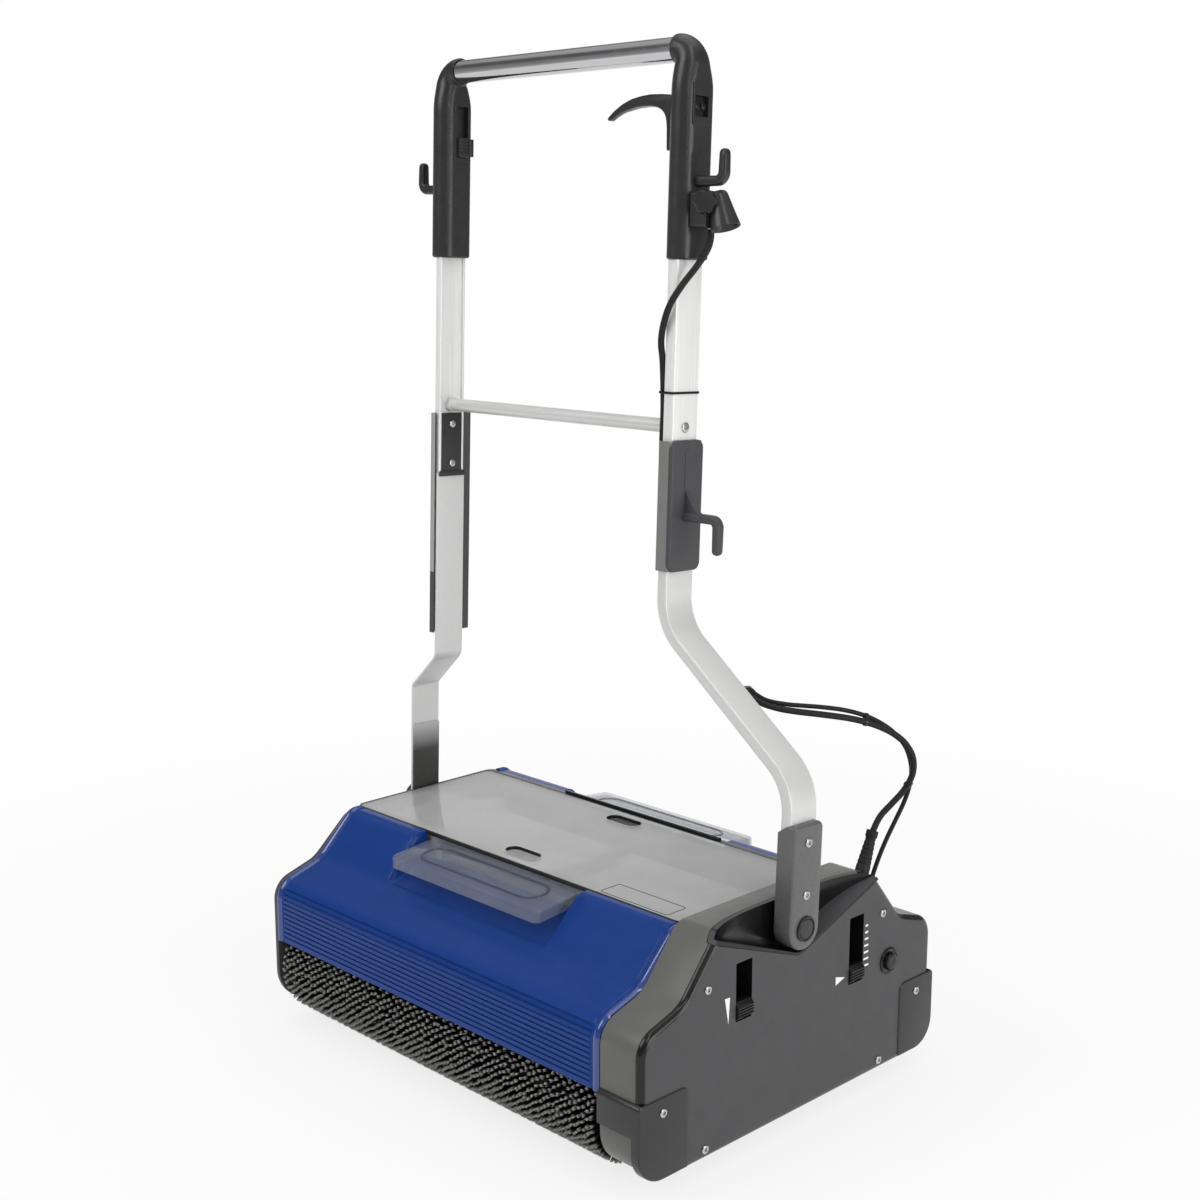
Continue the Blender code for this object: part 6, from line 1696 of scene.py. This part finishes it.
def add_left_strip():
    strip = add("left_strip", left_strip(), "dark_plastic", "handle", "left_strip")
    strip.data.materials.append(LOOKS["strip_metal"])
    for face in strip.data.polygons:
        face.material_index = int(face.normal.y < -0.6 and face.center.z > STRIP_PALE)


def groove_floor(leg, inward):
    return leg + inward * (UPRIGHT_T / 2 - CHANNEL_D + GAP)


def clamp_plate():
    """A black plate in the left upright's groove, with a foot across the joint below it."""
    floor = groove_floor(LEFT_LEG, 1)
    half = CHANNEL_W / 2 - GAP
    plate = block((floor, -half, JOINT_Z + 2 * GAP), (floor + 0.0035, half, STRIP_HIGH), 0.002, "X", 0.0008)
    face = LEFT_LEG + UPRIGHT_T / 2 + GAP
    foot = block((face, -UPRIGHT_W / 2, JOINT_Z - 0.0045), (face + 0.002, UPRIGHT_W / 2, JOINT_Z + 0.002),
                 0.001, "X", 0.0005)
    return merge(plate, foot)


def crossbar():
    """A plain tube with a collar at either end."""
    left, right = groove_floor(LEFT_LEG, 1), groove_floor(RIGHT_LEG, -1)
    length = right - left
    r, c = CROSSBAR_R, CROSSBAR_R + 0.0009
    profile = [(0, 0), (r, 0), (r, 0.0035), (c, 0.0037), (c, 0.0072), (r, 0.0078), (r, length - 0.0078),
               (c, length - 0.0072),
               (c, length - 0.0037), (r, length - 0.0035), (r, length), (0, length)]
    return revolve(profile, (left, 0, CROSSBAR_Z), (1, 0, 0), 48)


def add_handle_screws():
    """Screws on the right bracket, the left arm's foot, the right upright and the left clamp."""
    heads = [screw_head((HALF_SPAN, -0.001, z), (1, 0, 0), 0.0050) for z in (0.3155, 0.2600)]
    back = ARM_T / 2 - LEFT_ARM_T - ARM_X
    heads += [screw_head((back, 0, z), (-1, 0, 0), 0.0046) for z in (0.3050, 0.2700)]
    heads.append(screw_head((RIGHT_LEG + UPRIGHT_T / 2, 0, CROSSBAR_Z), (1, 0, 0), 0.0056))
    face = groove_floor(LEFT_LEG, 1) + 0.0034
    heads += [screw_head((face, 0, z), (1, 0, 0), 0.0044) for z in (0.698, 0.651)]
    add("handle_screws", merge(*heads), "steel", "handle")


def add_handle():
    right = [(ARM_X, ARM_FOOT, 0), (ARM_X, BEND_LOW, RIGHT_BEND_R),
             (RIGHT_LEG, RIGHT_BEND_HIGH, RIGHT_BEND_R),
             (RIGHT_LEG, JOINT_Z, 0)]
    left = [(-ARM_X, LEFT_FOOT, 0), (-ARM_X, BEND_LOW, LEFT_BEND_R), (LEFT_LEG, LEFT_BEND_HIGH, LEFT_BEND_R),
            (LEFT_LEG, JOINT_Z, 0)]
    add("right_pivot_bracket", pivot_bracket(), "bracket_plastic", "handle", "right_pivot_bracket")
    add("left_pivot_bracket", left_bracket(), "foot_metal_painted_reflection", "handle", "left_pivot_bracket")
    add("right_arm", arm(right), "arm_metal", "handle", "right_arm")
    add("left_arm", arm(left, LEFT_ARM_T), "arm_metal", "handle", "left_arm")
    add("right_upright", upright(RIGHT_LEG, -1), "aluminium", "handle", "right_upright")
    add("left_upright", upright(LEFT_LEG, 1, LEFT_THIN), "aluminium", "handle", "left_upright")
    for side, place in ((1, "right"), (-1, "left")):
        add(f"{place}_pivot_pin", pivot_pin(side), "black_plastic", "body", f"{place}_pivot_pin")
    add("right_grip", right_grip(), "black_plastic", "handle", "right_grip")
    add("left_grip", left_grip(), "black_plastic", "handle", "left_grip")
    add("crossbar", crossbar(), "pale_tube", "handle", "crossbar")
    bar_end = GRIP_REACH - 0.008
    add("top_bar", rod((LEFT_LEG + bar_end, 0, BAR_Z), (RIGHT_LEG - bar_end, 0, BAR_Z), BAR_R, sides=72),
        "chrome", "handle", "top_bar")
    add("catch_frame", catch_frame(), "black_plastic", "handle")
    add("rocker_frame", rocker_frame(), "black_plastic", "handle")
    add("right_cable_hook", cable_hook(GRIP_OUT_RIGHT, 1), "black_plastic", "handle", "right_cable_hook")
    add("left_cable_hook", cable_hook(GRIP_OUT_LEFT, -1), "black_plastic", "handle", "left_cable_hook")
    add("inlet_block", inlet_block(), "black_plastic", "handle", "inlet_block")
    add("hook_bracket", hook_bracket(), "sleeve_plastic", "handle", "hook_bracket")
    add("hook_panel", hook_panel(), "dark_plastic", "handle")
    add("upright_tie", upright_tie(), "gloss_plastic", "handle")
    add_left_strip()
    add("clamp_plate", clamp_plate(), "black_plastic", "handle", "clamp_plate")
    add_handle_screws()
    add("trigger", trigger(), "black_plastic", "trigger", "trigger")
    add("slide_catch", slide_catch(), "black_plastic", "slide_catch", "slide_catch")
    add("rocker_switch", rocker(), "gloss_plastic", "rocker", "rocker_switch")


add_stage()
add_leads()
add_body()
add_brushes()
add_inside()
add_handle()
